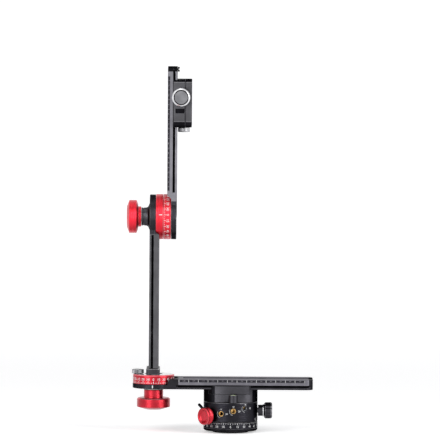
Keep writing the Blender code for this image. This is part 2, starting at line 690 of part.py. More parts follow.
# Rail clamp: a disc with the rear jaw, a front jaw that slides, and a knob at the back
FRONT_ARC_RADIUS = 0.060
FRONT_ARC_SIDES = 6
BACK_ARC_SIDES = 26
JAW_UNDERLAP = 0.003
JAW_TRAVEL = 0.0025
PULL_SCREW_X = -0.0075
PULL_SCREW_RADIUS = 0.002
PULL_SCREW_DROP = 0.0029
TONGUE_WIDTH = 0.007
TONGUE_THICK = 0.003
TONGUE_DROP = 0.0062
GUIDE_FROM_EDGE = 0.003
GUIDE_RADIUS = 0.0011
GUIDE_DROP = 0.0021
GUIDE_IN_JAW = 0.0035
GUIDE_IN_BASE = 0.0057
LEVEL_X = 0.0026
LEVEL_RADIUS = 0.00465
LEVEL_SINK = 0.0001
LEVEL_PROUD = 0.008
LEVEL_RIM = 0.001
LEVEL_CUP_DEPTH = 0.003
VIAL_EDGE = 0.0018
VIAL_DOME = 0.0006

JAW_INNER = HALF_RAIL - JAW_UNDERLAP
GUIDE_X = HALF_RAIL - GUIDE_FROM_EDGE
CORNER_ANGLE = math.degrees(math.acos(HALF_RAIL / PAN_RADIUS))
FRONT_HALF_ANGLE = math.degrees(math.asin(HALF_RAIL / FRONT_ARC_RADIUS))
CORNER_Y = -math.sqrt(PAN_RADIUS ** 2 - HALF_RAIL ** 2)
FRONT_ARC_Y = CORNER_Y + math.sqrt(FRONT_ARC_RADIUS ** 2 - HALF_RAIL ** 2)
FRONT_Y = FRONT_ARC_Y - FRONT_ARC_RADIUS
PULL_SCREW_Z = CLAMP_DISC_TOP - PULL_SCREW_DROP
JAW_BOTTOM = CLAMP_DISC_TOP + GAP
JAW_TOP = RAIL_BOTTOM + LIP_FACE
JAW_WALL = JAW_INNER + GAP
TONGUE_FRONT = -JAW_WALL - TONGUE_THICK
PULL_GRIP_START = PAN_RADIUS + GAP
LEVEL_Y = FRONT_Y - LEVEL_PROUD + LEVEL_RADIUS
LEVEL_TOP = CLAMP_DISC_TOP - LEVEL_SINK
LEVEL_BOTTOM = CLAMP_BOTTOM + LEVEL_SINK
GUIDE_Z = SEAT_TOP - GUIDE_DROP
FAR = PAN_RADIUS + OVER


def clamp_plan():
    """The clamp from above: round at the back, with a shallow arc as wide as the rail in front."""
    round_back = arc((0, 0), PAN_RADIUS, -CORNER_ANGLE, 180 + CORNER_ANGLE, BACK_ARC_SIDES)
    front = arc(
        (0, FRONT_ARC_Y), FRONT_ARC_RADIUS,
        270 - FRONT_HALF_ANGLE, 270 + FRONT_HALF_ANGLE, FRONT_ARC_SIDES,
    )
    return round_back + front[1:-1]


def lip_side(side):
    """The outline of a lip over the lower rail as (y, z), starting under the rail."""
    points = [(side * across, RAIL_BOTTOM + height) for across, height in lip_outline()]
    return [(points[0][0], SEAT_TOP)] + points[1:]


def clamp_screw_places():
    return on_circle(CLAMP_SCREW_CIRCLE, CLAMP_SCREW_ANGLES)


def make_rail_clamp_base(black, steel, body):
    above = JAW_TOP + OVER
    lip = lip_side(1)
    channel = [(-FAR, CLAMP_DISC_TOP), (-JAW_INNER, CLAMP_DISC_TOP), (-JAW_INNER, SEAT_TOP)]
    channel += lip[:-1] + [(lip[-1][0], above), (-FAR, above)]
    recess = rod(NUT_RECESS_RADIUS, CLAMP_BOTTOM - OVER, SPINDLE_TOP + GAP, MIDDLE)
    pull = moved(rod(PULL_SCREW_RADIUS + GAP, -JAW_WALL - GAP, FAR, SMALL), TO_BACK)
    slot = block(
        (PULL_SCREW_X - TONGUE_WIDTH / 2 - GAP, PULL_SCREW_X + TONGUE_WIDTH / 2 + GAP),
        (TONGUE_FRONT - JAW_TRAVEL - GAP, -JAW_INNER),
        (JAW_BOTTOM - TONGUE_DROP - GAP, CLAMP_DISC_TOP + OVER),
    )
    well = rod(LEVEL_RADIUS + GAP, CLAMP_BOTTOM - OVER, CLAMP_DISC_TOP + OVER, MIDDLE)
    guide_depth = JAW_INNER - GUIDE_IN_BASE - GAP
    guides = [
        shifted(moved(rod(GUIDE_RADIUS + GAP, guide_depth, FAR, SMALL), TO_FRONT), x, 0, GUIDE_Z)
        for x in (-GUIDE_X, GUIDE_X)
    ]
    mouth = SEAT_TOP - CLAMP_SCREW_HEAD + OVER
    screws = [
        shifted(moved(screw_hole(CLAMP_SCREW, -CLAMP_SCREW_HEAD, -CLAMP_BOTTOM + OVER, mouth), DOWN), x, y)
        for x, y in clamp_screw_places()
    ]
    cuts = [across_x(channel, -FAR, FAR), recess, shifted(pull, PULL_SCREW_X, 0, PULL_SCREW_Z)]
    cuts += [slot, shifted(well, LEVEL_X, LEVEL_Y), *guides, *screws]
    add("rail_clamp_base", prism(clamp_plan(), CLAMP_BOTTOM, JAW_TOP), black, body, cuts=cuts)
    for number, (x, y) in enumerate(clamp_screw_places(), 1):
        screw = machine_screw(CLAMP_SCREW, -CLAMP_SCREW_HEAD, -CLAMP_SCREW_END)
        add(f"clamp_base_screw_{number}", screw, steel, body, (x, y, 0), DOWN)


def make_level(black, glass, body):
    floor = LEVEL_TOP - LEVEL_CUP_DEPTH
    inner = LEVEL_RADIUS - LEVEL_RIM
    housing = turned([
        (0, LEVEL_BOTTOM), (LEVEL_RADIUS, LEVEL_BOTTOM), (LEVEL_RADIUS, LEVEL_TOP),
        (inner, LEVEL_TOP), (inner, floor), (0, floor),
    ], MIDDLE)
    add("level_housing", housing, black, body, (LEVEL_X, LEVEL_Y, 0))
    radius = inner - GAP
    low = floor + GAP
    vial = turned([
        (0, low), (radius, low), (radius, low + VIAL_EDGE),
        (radius / 2, low + VIAL_EDGE + VIAL_DOME), (0, low + VIAL_EDGE + VIAL_DOME),
    ], MIDDLE)
    add("level_vial", vial, glass, body, (LEVEL_X, LEVEL_Y, 0))


def make_rail_clamp_jaw(black, steel, body):
    above = JAW_TOP + OVER
    under = JAW_BOTTOM - OVER
    lip = lip_side(-1)
    behind = [(-JAW_WALL, under), (FAR, under), (FAR, above), (lip[-1][0], above)]
    behind += lip[-2::-1] + [(-JAW_WALL, SEAT_TOP)]
    tongue = block(
        (PULL_SCREW_X - TONGUE_WIDTH / 2, PULL_SCREW_X + TONGUE_WIDTH / 2),
        (TONGUE_FRONT, -JAW_WALL), (JAW_BOTTOM - TONGUE_DROP, JAW_BOTTOM + OVER),
    )
    pull = moved(rod(PULL_SCREW_RADIUS + GAP, JAW_INNER, FAR, SMALL), TO_FRONT)
    guide_end = JAW_WALL + GUIDE_IN_JAW
    guides = [
        shifted(moved(rod(GUIDE_RADIUS + GAP, JAW_INNER, guide_end + GAP, SMALL), TO_FRONT), x, 0, GUIDE_Z)
        for x in (-GUIDE_X, GUIDE_X)
    ]
    cuts = [across_x(behind, -FAR, FAR), shifted(pull, PULL_SCREW_X, 0, PULL_SCREW_Z), *guides]
    plate = prism(clamp_plan(), JAW_BOTTOM, JAW_TOP)
    add("rail_clamp_jaw", plate, black, body, joins=[tongue], cuts=cuts)
    for number, x in enumerate((-GUIDE_X, GUIDE_X), 1):
        pin = rod(GUIDE_RADIUS, JAW_INNER - GUIDE_IN_BASE, guide_end, SMALL)
        add(f"jaw_guide_pin_{number}", pin, steel, body, (x, 0, GUIDE_Z), TO_FRONT)


def make_rail_clamp_knob(black, steel, body):
    place = (PULL_SCREW_X, 0, PULL_SCREW_Z)
    add("rail_clamp_knob", grip_knob(PULL_SCREW_RADIUS, PULL_GRIP_START), black, body, place, TO_BACK)
    end = PULL_GRIP_START + GRIP_SOCKET - GAP
    add("rail_clamp_screw", rod(PULL_SCREW_RADIUS, TONGUE_FRONT, end, SMALL), steel, body, place, TO_BACK)


# Lower rail: a dovetail bar whose left end thins to a disc under the swing dial
SWING_DISC_OVERHANG = 0.0002
SWING_POCKET_ROOM = 0.0023
SWING_POCKET_FLARE = 0.0015
GROOVE_FROM_POCKET = 0.001
DIMPLE_COUNT = 24
DIMPLE_RADIUS = 0.0015
DIMPLE_DEPTH = 0.0013
DIMPLE_SIDES = 6
SLOT_MARGIN = 0.006

SWING_DISC_RADIUS = DIAL_RADIUS + SWING_DISC_OVERHANG
SWING_POCKET_RADIUS = DIAL_RADIUS + SWING_POCKET_ROOM
GROOVE_START = SWING_POCKET_RADIUS + GROOVE_FROM_POCKET


def pocket(low_radius, flare, low, high):
    """A cone frustum that clears a dial, widening from low to a little past high."""
    slope = flare / (high - low)
    past = OVER if high > low else -OVER
    wide = low_radius + flare + slope * past
    return turned([(0, low), (low_radius, low), (wide, high + past), (0, high + past)], BIG)


def make_lower_rail(paint, body):
    corner = RAIL_RIGHT_X - RAIL_CORNER
    side = HALF_RAIL - RAIL_CORNER
    plan = [(SWING_X, HALF_RAIL), (SWING_X, -HALF_RAIL)]
    plan += arc((corner, -side), RAIL_CORNER, -90, 0, RAIL_CORNER_SIDES)
    plan += arc((corner, side), RAIL_CORNER, 0, 90, RAIL_CORNER_SIDES)
    bar = prism(plan, RAIL_BOTTOM, RAIL_TOP)
    disc = shifted(rod(SWING_DISC_RADIUS, RAIL_BOTTOM + FACE_STEP, DISC_TOP, BIG), SWING_X)
    start, end = SWING_X + GROOVE_START, RAIL_RIGHT_X + OVER
    groove = [(across, RAIL_BOTTOM + height) for across, height in dovetail_groove()]
    top_slot = block(
        (start + SLOT_MARGIN, end), (-RAIL_SLOT_WIDTH / 2, RAIL_SLOT_WIDTH / 2),
        (RAIL_TOP - RAIL_SLOT_DEPTH, RAIL_TOP + OVER),
    )
    bolt = shifted(rod(SWING_BOLT_RADIUS + GAP, RAIL_BOTTOM - OVER, DISC_TOP + OVER, MIDDLE), SWING_X)
    recess = pocket(SWING_POCKET_RADIUS, SWING_POCKET_FLARE, DISC_TOP - FACE_STEP, RAIL_TOP)
    cuts = [across_x(groove, start, end), across_x(mirrored(groove), start, end), top_slot, bolt]
    for x, y in on_circle(DIMPLE_CIRCLE, [360 * n / DIMPLE_COUNT for n in range(DIMPLE_COUNT)]):
        rise = OVER * DIMPLE_RADIUS / DIMPLE_DEPTH
        cone = turned([
            (0, DISC_TOP - DIMPLE_DEPTH), (DIMPLE_RADIUS + rise, DISC_TOP + OVER), (0, DISC_TOP + OVER),
        ], DIMPLE_SIDES)
        cuts.append(shifted(cone, SWING_X + x, y))
    add(
        "lower_rail", bar, paint, body, first=[shifted(recess, SWING_X)], joins=[disc], cuts=cuts,
        bevel=RAIL_EDGE_BREAK,
    )


# Swing joint: the dial and foot that carry the lower arm, their bolt, knob and detent
SWING_HEAD = 0.0045
SWING_DIAL_CHAMFER = 0.001
FOOT_RIGHT = 0.0064
FOOT_CORNER = 0.0025
FOOT_CORNER_SIDES = 3
FOOT_SCREW = (0.0026, 0.0026, 0.0014)
FOOT_SCREW_FROM_EDGE = 0.0065
FOOT_SCREW_MARGIN = 0.0009
FOOT_SCREW_GRIP = 0.0094
SWING_WASHER = 0.0012
SWING_NECK_RADIUS = 0.010
SWING_NECK = 0.0083
SWING_KNOB_RADIUS = 0.0173
SWING_KNOB = 0.0121
SWING_KNOB_CHAMFER = 0.0013
SWING_KNOB_CONE = 0.0027
SWING_KNOB_CONE_RADIUS = 0.009
SWING_KNOB_SIDES = 32
SWING_SOCKET = 0.0097
DETENT_KNOB_HEIGHT = 0.0044
DETENT_KNOB_CHAMFER = 0.0005
DETENT_PIN_RADIUS = 0.0012
DETENT_COLLAR_RADIUS = 0.0021
DETENT_COLLAR = 0.001
DETENT_COLLAR_RISE = 0.0004
DETENT_ROOF = 0.0024
DETENT_TIP_DEPTH = 0.0008
DETENT_PIN_GRIP = 0.0024
DETENT_SPRING = 0.0018

FOOT_SCREW_Y = HALF_RAIL - FOOT_SCREW_FROM_EDGE
SWING_HEAD_RADIUS = FOOT_SCREW_Y - FOOT_SCREW[0] - FOOT_SCREW_MARGIN
DETENT_X = SWING_X - DIMPLE_CIRCLE
SWING_HEAD_TOP = DIAL_TOP - GAP
SWING_HEAD_BOTTOM = SWING_HEAD_TOP - SWING_HEAD
WASHER_TOP = RAIL_BOTTOM - GAP
NECK_TOP = WASHER_TOP - SWING_WASHER - GAP
SWING_KNOB_TOP = NECK_TOP - SWING_NECK
SWING_KNOB_BOTTOM = SWING_KNOB_TOP - SWING_KNOB
SWING_SOCKET_END = NECK_TOP - SWING_SOCKET


def foot_screw_places():
    return [(SWING_X, -FOOT_SCREW_Y), (SWING_X, FOOT_SCREW_Y)]


def make_swing_dial(red, body):
    dial = turned([
        (SWING_BOLT_RADIUS + GAP, DIAL_BOTTOM), (DIAL_RADIUS, DIAL_BOTTOM),
        (DIAL_RADIUS, DIAL_TOP - SWING_DIAL_CHAMFER), (DIAL_RADIUS - SWING_DIAL_CHAMFER, DIAL_TOP),
        (SWING_HEAD_RADIUS + GAP, DIAL_TOP), (SWING_HEAD_RADIUS + GAP, SWING_HEAD_BOTTOM - GAP),
        (SWING_BOLT_RADIUS + GAP, SWING_HEAD_BOTTOM - GAP),
    ], BIG)
    head_start = DIAL_BOTTOM + GAP
    holes = [
        shifted(screw_hole(FOOT_SCREW, head_start, DIAL_TOP + OVER), 0, y)
        for _, y in foot_screw_places()
    ]
    collar, pin = DETENT_COLLAR_RADIUS + GAP, DETENT_PIN_RADIUS + GAP
    roof = DIAL_TOP - DETENT_ROOF
    channel = turned([
        (0, DIAL_BOTTOM - OVER), (collar, DIAL_BOTTOM - OVER), (collar, roof),
        (pin, roof), (pin, DIAL_TOP + OVER), (0, DIAL_TOP + OVER),
    ], SMALL)
    holes.append(shifted(channel, -DIMPLE_CIRCLE))
    add("swing_dial", dial, red, body, (SWING_X, 0, 0), cuts=holes)


def rounded_rectangle(x_range, y_range, radius, steps):
    """Counterclockwise outline with four round corners."""
    (left, right), (low, high) = x_range, y_range
    outline = arc((right - radius, high - radius), radius, 0, 90, steps)
    outline += arc((left + radius, high - radius), radius, 90, 180, steps)
    outline += arc((left + radius, low + radius), radius, 180, 270, steps)
    return outline + arc((right - radius, low + radius), radius, 270, 360, steps)


def make_arm_foot(black, steel, body):
    x_range = (SWING_X - FOOT_LEFT, SWING_X + FOOT_RIGHT)
    outline = rounded_rectangle(x_range, (-HALF_RAIL, HALF_RAIL), FOOT_CORNER, FOOT_CORNER_SIDES)
    shank = FOOT_SCREW[2] + GAP
    holes = [
        shifted(rod(shank, FOOT_BOTTOM - OVER, FOOT_TOP + OVER, SMALL), x, y)
        for x, y in foot_screw_places()
    ]
    add("arm_foot", prism(outline, FOOT_BOTTOM, FOOT_TOP), black, body, cuts=holes, bevel=RAIL_EDGE_BREAK)
    for number, (x, y) in enumerate(foot_screw_places(), 1):
        screw = machine_screw(FOOT_SCREW, DIAL_BOTTOM + GAP, ARM_BOTTOM + FOOT_SCREW_GRIP)
        add(f"arm_foot_screw_{number}", screw, steel, body, (x, y, 0))


def make_swing_fixings(red, steel, plastic, arm_body, knob_body):
    place = (SWING_X, 0, 0)
    bolt = turned([
        (0, SWING_SOCKET_END + GAP), (SWING_BOLT_RADIUS, SWING_SOCKET_END + GAP),
        (SWING_BOLT_RADIUS, SWING_HEAD_BOTTOM), (SWING_HEAD_RADIUS, SWING_HEAD_BOTTOM),
        (SWING_HEAD_RADIUS, SWING_HEAD_TOP), (0, SWING_HEAD_TOP),
    ], MIDDLE)
    add("swing_bolt", bolt, steel, arm_body, place)
    bore = SWING_BOLT_RADIUS + GAP
    washer = tube(bore, SWING_NECK_RADIUS, WASHER_TOP - SWING_WASHER, WASHER_TOP, MIDDLE)
    add("swing_washer", washer, plastic, knob_body, place)
    cone_start = SWING_KNOB_BOTTOM + SWING_KNOB_CONE
    knob = turned([
        (0, SWING_SOCKET_END), (bore, SWING_SOCKET_END), (bore, NECK_TOP),
        (SWING_NECK_RADIUS, NECK_TOP), (SWING_NECK_RADIUS, SWING_KNOB_TOP),
        (SWING_KNOB_RADIUS - SWING_KNOB_CHAMFER, SWING_KNOB_TOP),
        (SWING_KNOB_RADIUS, SWING_KNOB_TOP - SWING_KNOB_CHAMFER), (SWING_KNOB_RADIUS, cone_start),
        (SWING_KNOB_CONE_RADIUS, SWING_KNOB_BOTTOM), (0, SWING_KNOB_BOTTOM),
    ], SWING_KNOB_SIDES)
    add("swing_lock_knob", knob, red, knob_body, place)


def make_swing_detent(silver, steel, body):
    place = (DETENT_X, 0, 0)
    collar = DIAL_BOTTOM + DETENT_COLLAR_RISE
    pin_end = FOOT_BOTTOM + DETENT_PIN_GRIP
    tip = DISC_TOP - DETENT_TIP_DEPTH
    pin = turned([
        (0, tip), (PIN_TIP_RADIUS, tip), (DETENT_PIN_RADIUS, tip + DETENT_PIN_RADIUS - PIN_TIP_RADIUS),
        (DETENT_PIN_RADIUS, collar), (DETENT_COLLAR_RADIUS, collar),
        (DETENT_COLLAR_RADIUS, collar + DETENT_COLLAR), (DETENT_PIN_RADIUS, collar + DETENT_COLLAR),
        (DETENT_PIN_RADIUS, pin_end), (0, pin_end),
    ], SMALL)
    add("swing_detent_pin", pin, steel, body, place)
    low = collar + DETENT_COLLAR + GAP
    spring = tube(DETENT_PIN_RADIUS + GAP, DETENT_COLLAR_RADIUS, low, low + DETENT_SPRING, SMALL)
    add("swing_detent_spring", spring, steel, body, place)
    socket = rod(DETENT_PIN_RADIUS + GAP, FOOT_BOTTOM - OVER, pin_end + GAP, SMALL)
    knob = rod(
        DETENT_KNOB_RADIUS, FOOT_BOTTOM, FOOT_BOTTOM + DETENT_KNOB_HEIGHT, MIDDLE, DETENT_KNOB_CHAMFER,
    )
    add("swing_detent_knob", knob, silver, body, place, cuts=[socket])


# Lower arm: a dovetail bar on edge, with the tilt joint's disc at its top
ARM_POCKET_ROOM = 0.0007
ARM_POCKET_FLARE = 0.0018
ARM_GROOVE_INSET = 0.005
ARM_DISC_CHAMFER = 0.0006
BUSHING_OUTER = 0.0075
HUB_LENGTH = 0.0082
HUB_RADIUS = 0.0094
HUB_FLARE = 0.002
HUB_FLARE_RADIUS = 0.014
RING_EDGE = 0.0004
FRICTION_RADIUS = 0.018
FRICTION_THICK = 0.0011
TILT_HEAD_RADIUS = 0.009
TILT_HEAD = 0.0032
TILT_NECK_RADIUS = 0.0106
TILT_NECK = 0.0032
TILT_CONE = 0.0017
TILT_CONE_RADIUS = 0.0129
TILT_KNOB_RADIUS = 0.0172
TILT_KNOB = 0.010
TILT_KNOB_BEVEL = 0.0025
TILT_KNOB_FACE_RADIUS = 0.011
TILT_KNOB_SIDES = 32
TILT_SOCKET = 0.0105

ARM_POCKET_RADIUS = TILT_RING_RADIUS + ARM_POCKET_ROOM
ARM_GROOVE_END = ARM_DISC_RADIUS - ARM_GROOVE_INSET
HUB_RIGHT = ARM_LEFT - GAP
HUB_LEFT = HUB_RIGHT - HUB_LENGTH
TILT_KNOB_RIGHT = HUB_LEFT - GAP
TILT_SOCKET_END = TILT_KNOB_RIGHT - TILT_SOCKET
FRICTION_RECESS = FRICTION_THICK + GAP
TILT_HEAD_RIGHT = UPPER_RIGHT - GAP
TILT_HEAD_LEFT = TILT_HEAD_RIGHT - TILT_HEAD
TILT_BORE = TILT_SHAFT_RADIUS + GAP


def lying(shape):
    """Lay a shape turned about Z along X, at the tilt axis."""
    return shifted(moved(shape, ALONG_X), z=TILT_Z)


def upright_grooves(face_x, inward, low, high):
    """Undercuts of an upright rail whose dovetail face is at face_x."""
    outline = [(face_x + inward * height, across) for across, height in dovetail_groove()]
    other = [(x, -y) for x, y in outline]
    return [prism(outline, low, high), prism(other, low, high)]


def make_lower_arm(black, body):
    bar = block((ARM_LEFT, ARM_RIGHT), (-HALF_RAIL, HALF_RAIL), (ARM_BOTTOM, TILT_Z))
    disc = turned([
        (0, ARM_LEFT), (ARM_DISC_RADIUS - ARM_DISC_CHAMFER, ARM_LEFT),
        (ARM_DISC_RADIUS, ARM_LEFT + ARM_DISC_CHAMFER), (ARM_DISC_RADIUS, ARM_DISC_RIGHT),
        (0, ARM_DISC_RIGHT),
    ], BIG)
    recess = pocket(ARM_POCKET_RADIUS, ARM_POCKET_FLARE, ARM_DISC_RIGHT - FACE_STEP, ARM_RIGHT)
    bore = rod(BUSHING_OUTER + GAP, ARM_LEFT - OVER, ARM_DISC_RIGHT + OVER, MIDDLE)
    cuts = [lying(bore)]
    cuts += upright_grooves(ARM_LEFT, 1, ARM_BOTTOM - OVER, TILT_Z - ARM_GROOVE_END)
    depth = ARM_BOTTOM + FOOT_SCREW_GRIP + GAP
    shank = FOOT_SCREW[2] + GAP
    cuts += [shifted(rod(shank, ARM_BOTTOM - OVER, depth, SMALL), x, y) for x, y in foot_screw_places()]
    add(
        "lower_arm", bar, black, body, first=[lying(recess)], joins=[lying(disc)], cuts=cuts,
        bevel=RAIL_EDGE_BREAK,
    )


def make_tilt_fixed(black, red, brass, body):
    place = (0, 0, TILT_Z)
    bore = BUSHING_OUTER + GAP
    hub = turned([
        (bore, HUB_LEFT), (HUB_RADIUS, HUB_LEFT), (HUB_RADIUS, HUB_RIGHT - HUB_FLARE),
        (HUB_FLARE_RADIUS, HUB_RIGHT), (bore, HUB_RIGHT),
    ], MIDDLE)
    add("tilt_hub", hub, black, body, place, ALONG_X)
    floor = INDEX_RIGHT - FRICTION_RECESS
    ring = turned([
        (bore, INDEX_LEFT), (TILT_RING_RADIUS - RING_EDGE, INDEX_LEFT),
        (TILT_RING_RADIUS, INDEX_LEFT + RING_EDGE), (TILT_RING_RADIUS, INDEX_RIGHT - RING_EDGE),
        (TILT_RING_RADIUS - RING_EDGE, INDEX_RIGHT), (FRICTION_RADIUS + GAP, INDEX_RIGHT),
        (FRICTION_RADIUS + GAP, floor), (bore, floor),
    ], BIG)
    add("tilt_index_ring", ring, red, body, place, ALONG_X)
    bushing = tube(TILT_BORE, BUSHING_OUTER, HUB_LEFT + GAP, floor - GAP, MIDDLE)
    add("tilt_bushing", bushing, brass, body, place, ALONG_X)


def make_tilt_moving(red, steel, plastic, body):
    place = (0, 0, TILT_Z)
    dial = tube(TILT_BORE, TILT_RING_RADIUS, TILT_DIAL_LEFT, TILT_DIAL_RIGHT, BIG, RING_EDGE)
    add("tilt_dial", dial, red, body, place, ALONG_X)
    shaft = turned([
        (0, TILT_SOCKET_END + GAP), (TILT_SHAFT_RADIUS, TILT_SOCKET_END + GAP),
        (TILT_SHAFT_RADIUS, TILT_HEAD_LEFT), (TILT_HEAD_RADIUS, TILT_HEAD_LEFT),
        (TILT_HEAD_RADIUS, TILT_HEAD_RIGHT), (0, TILT_HEAD_RIGHT),
    ], MIDDLE)
    add("tilt_shaft", shaft, steel, body, place, ALONG_X)
    washer = tube(TILT_BORE, FRICTION_RADIUS, INDEX_RIGHT - FRICTION_THICK, INDEX_RIGHT, MIDDLE)
    add("tilt_friction_washer", washer, plastic, body, place, ALONG_X)


def make_tilt_lock_knob(red, body):
    head = TILT_KNOB_RIGHT - TILT_NECK
    cylinder = head - TILT_CONE
    end = cylinder - TILT_KNOB
    knob = turned([
        (0, TILT_SOCKET_END), (TILT_BORE, TILT_SOCKET_END), (TILT_BORE, TILT_KNOB_RIGHT),
        (TILT_NECK_RADIUS, TILT_KNOB_RIGHT), (TILT_NECK_RADIUS, head), (TILT_CONE_RADIUS, head),
        (TILT_KNOB_RADIUS, cylinder), (TILT_KNOB_RADIUS, end + TILT_KNOB_BEVEL),
        (TILT_KNOB_FACE_RADIUS, end), (0, end),
    ], TILT_KNOB_SIDES)
    add("tilt_lock_knob", knob, red, body, (0, 0, TILT_Z), ALONG_X)


# Upper rail: the same dovetail bar, from the tilt joint's last disc up to a stop screw
UPPER_POCKET_ROOM = 0.0034
UPPER_POCKET_FLARE = 0.0037
UPPER_GROOVE_ROOM = 0.0025
UPPER_SLOT_ROOM = 0.0105
STOP_RADIUS = 0.0025
STOP_HEAD = 0.0018
STOP_SHANK_RADIUS = 0.0012
STOP_GRIP = 0.0045
STOP_FROM_TOP = 0.0028
STOP_SLOT = 0.0011

UPPER_POCKET_RADIUS = TILT_RING_RADIUS + UPPER_POCKET_ROOM
UPPER_GROOVE_START = TILT_RING_RADIUS + UPPER_GROOVE_ROOM
UPPER_SLOT_START = TILT_RING_RADIUS + UPPER_SLOT_ROOM
STOP_Z = UPPER_TOP - STOP_FROM_TOP


def make_upper_rail(black, steel, body):
    side, corner = HALF_RAIL - RAIL_CORNER, UPPER_TOP - RAIL_CORNER
    outline = [(-HALF_RAIL, TILT_Z), (HALF_RAIL, TILT_Z)]
    outline += arc((side, corner), RAIL_CORNER, 0, 90, RAIL_CORNER_SIDES)
    outline += arc((-side, corner), RAIL_CORNER, 90, 180, RAIL_CORNER_SIDES)
    disc = rod(TILT_RING_RADIUS, UPPER_DISC_LEFT, UPPER_RIGHT - FACE_STEP, BIG, RING_EDGE)
    recess = pocket(UPPER_POCKET_RADIUS, UPPER_POCKET_FLARE, UPPER_DISC_LEFT + FACE_STEP, UPPER_LEFT)
    floor = TILT_HEAD_LEFT - GAP
    bore = turned([
        (0, UPPER_DISC_LEFT - OVER), (TILT_BORE, UPPER_DISC_LEFT - OVER), (TILT_BORE, floor),
        (TILT_HEAD_RADIUS + GAP, floor), (TILT_HEAD_RADIUS + GAP, UPPER_RIGHT + OVER),
        (0, UPPER_RIGHT + OVER),
    ], MIDDLE)
    cuts = [lying(bore)]
    cuts += upright_grooves(UPPER_RIGHT, -1, TILT_Z + UPPER_GROOVE_START, UPPER_TOP + OVER)
    cuts.append(block(
        (UPPER_LEFT - OVER, UPPER_LEFT + RAIL_SLOT_DEPTH), (-RAIL_SLOT_WIDTH / 2, RAIL_SLOT_WIDTH / 2),
        (TILT_Z + UPPER_SLOT_START, UPPER_TOP + OVER),
    ))
    stop = rod(STOP_SHANK_RADIUS + GAP, UPPER_RIGHT - STOP_GRIP - GAP, UPPER_RIGHT + OVER, SMALL)
    cuts.append(shifted(moved(stop, ALONG_X), z=STOP_Z))
    bar = across_x(outline, UPPER_LEFT, UPPER_RIGHT)
    add(
        "upper_rail", bar, black, body, first=[lying(recess)], joins=[lying(disc)], cuts=cuts,
        bevel=RAIL_EDGE_BREAK,
    )
    seat = UPPER_RIGHT + GAP
    top = seat + STOP_HEAD
    screw = turned([
        (0, UPPER_RIGHT - STOP_GRIP), (STOP_SHANK_RADIUS, UPPER_RIGHT - STOP_GRIP),
        (STOP_SHANK_RADIUS, seat), (STOP_RADIUS, seat), (STOP_RADIUS, top), (0, top),
    ], SMALL)
    across = (-STOP_SLOT / 2, STOP_SLOT / 2)
    slot = block(across, (-STOP_RADIUS - OVER, STOP_RADIUS + OVER), (top - STOP_SLOT, top + OVER))
    add("rail_stop_screw", screw, steel, body, (0, 0, STOP_Z), ALONG_X, cuts=[slot])


# Camera clamp: a carriage on the upper rail with a sliding jaw for the camera's plate
BED_INSET = 0.005
BED_STEP = 0.0006
CARRIAGE_CORNER = 0.0045
CARRIAGE_CORNER_SIDES = 3
PLATE_KNOB_INSET = 0.0037
PLATE_KNOB_RISE = 0.0314
PLATE_SCREW_RADIUS = 0.0015
PLATE_SCREW_DEPTH = 0.014
PLATE_JAW_TRAVEL = 0.0025
TAB_INSET = 0.0024
TAB_SET_BACK = 0.0006
TAB_REACH = 0.0028
TAB_HALF_HEIGHT = 0.007
KNOB_RELIEF_RADIUS = 0.0102
KNOB_RELIEF_DEPTH = 0.0015
RECESS_WIDTH = 0.0095
RECESS_LEFT = 0.0018
RECESS_RISE = 0.0147
RECESS_HEIGHT = 0.0048
RECESS_IN = 0.002
THUMB_RADIUS = 0.0062
THUMB_HEIGHT = 0.0047
THUMB_CHAMFER = 0.0005
THUMB_NECK_RADIUS = 0.0019
THUMB_NECK = 0.0006
THUMB_SHANK_RADIUS = 0.001
THUMB_GRIP = 0.0075
THUMB_X = CARRIAGE_INNER + GAP + THUMB_RADIUS

PLATE_KNOB_X = CARRIAGE_INNER + PLATE_KNOB_INSET
BED_HALF_WIDTH = HALF_RAIL - BED_INSET
SPLIT_X = BED_X - BED_STEP
JAW_LEFT_X = SPLIT_X + GAP
CARRIAGE_LEFT = UPPER_RIGHT - LIP_FACE
CARRIAGE_RIGHT = BED_X + PLATE_JAW_DEPTH
HALF_CARRIAGE = HALF_RAIL + CARRIAGE_WALL
PLATE_KNOB_Z = CARRIAGE_BOTTOM + PLATE_KNOB_RISE
TAB_BACK = HALF_RAIL + GAP + TAB_SET_BACK
TAB_FRONT = HALF_CARRIAGE - TAB_INSET
PLATE_KNOB_START = TAB_FRONT + GAP
TAB_LEFT = PLATE_KNOB_X - TAB_REACH


def rail_lip(side):
    """The lip round the upper rail's dovetail, as (x, y) from its tip's face inward."""
    points = [(UPPER_RIGHT - height, side * across) for across, height in lip_outline()]
    return points[::-1][:-1] + [(CARRIAGE_INNER, points[0][1])]


def plate_lip(side):
    """The lip over the camera plate's dovetail, as (x, y) from the bed outward."""
    points = [(BED_X + GAP + height, side * across) for across, height in lip_outline()]
    return [(SPLIT_X, points[0][1])] + points[1:-1] + [(CARRIAGE_RIGHT, points[-1][1])]


def rounded_envelope():
    """What both halves of the clamp keep to: its view from the right, with round corners."""
    outline = rounded_rectangle(
        (-HALF_CARRIAGE, HALF_CARRIAGE), (CARRIAGE_BOTTOM, CARRIAGE_TOP),
        CARRIAGE_CORNER, CARRIAGE_CORNER_SIDES,
    )
    return across_x(outline, CARRIAGE_LEFT - OVER, CARRIAGE_RIGHT + OVER)


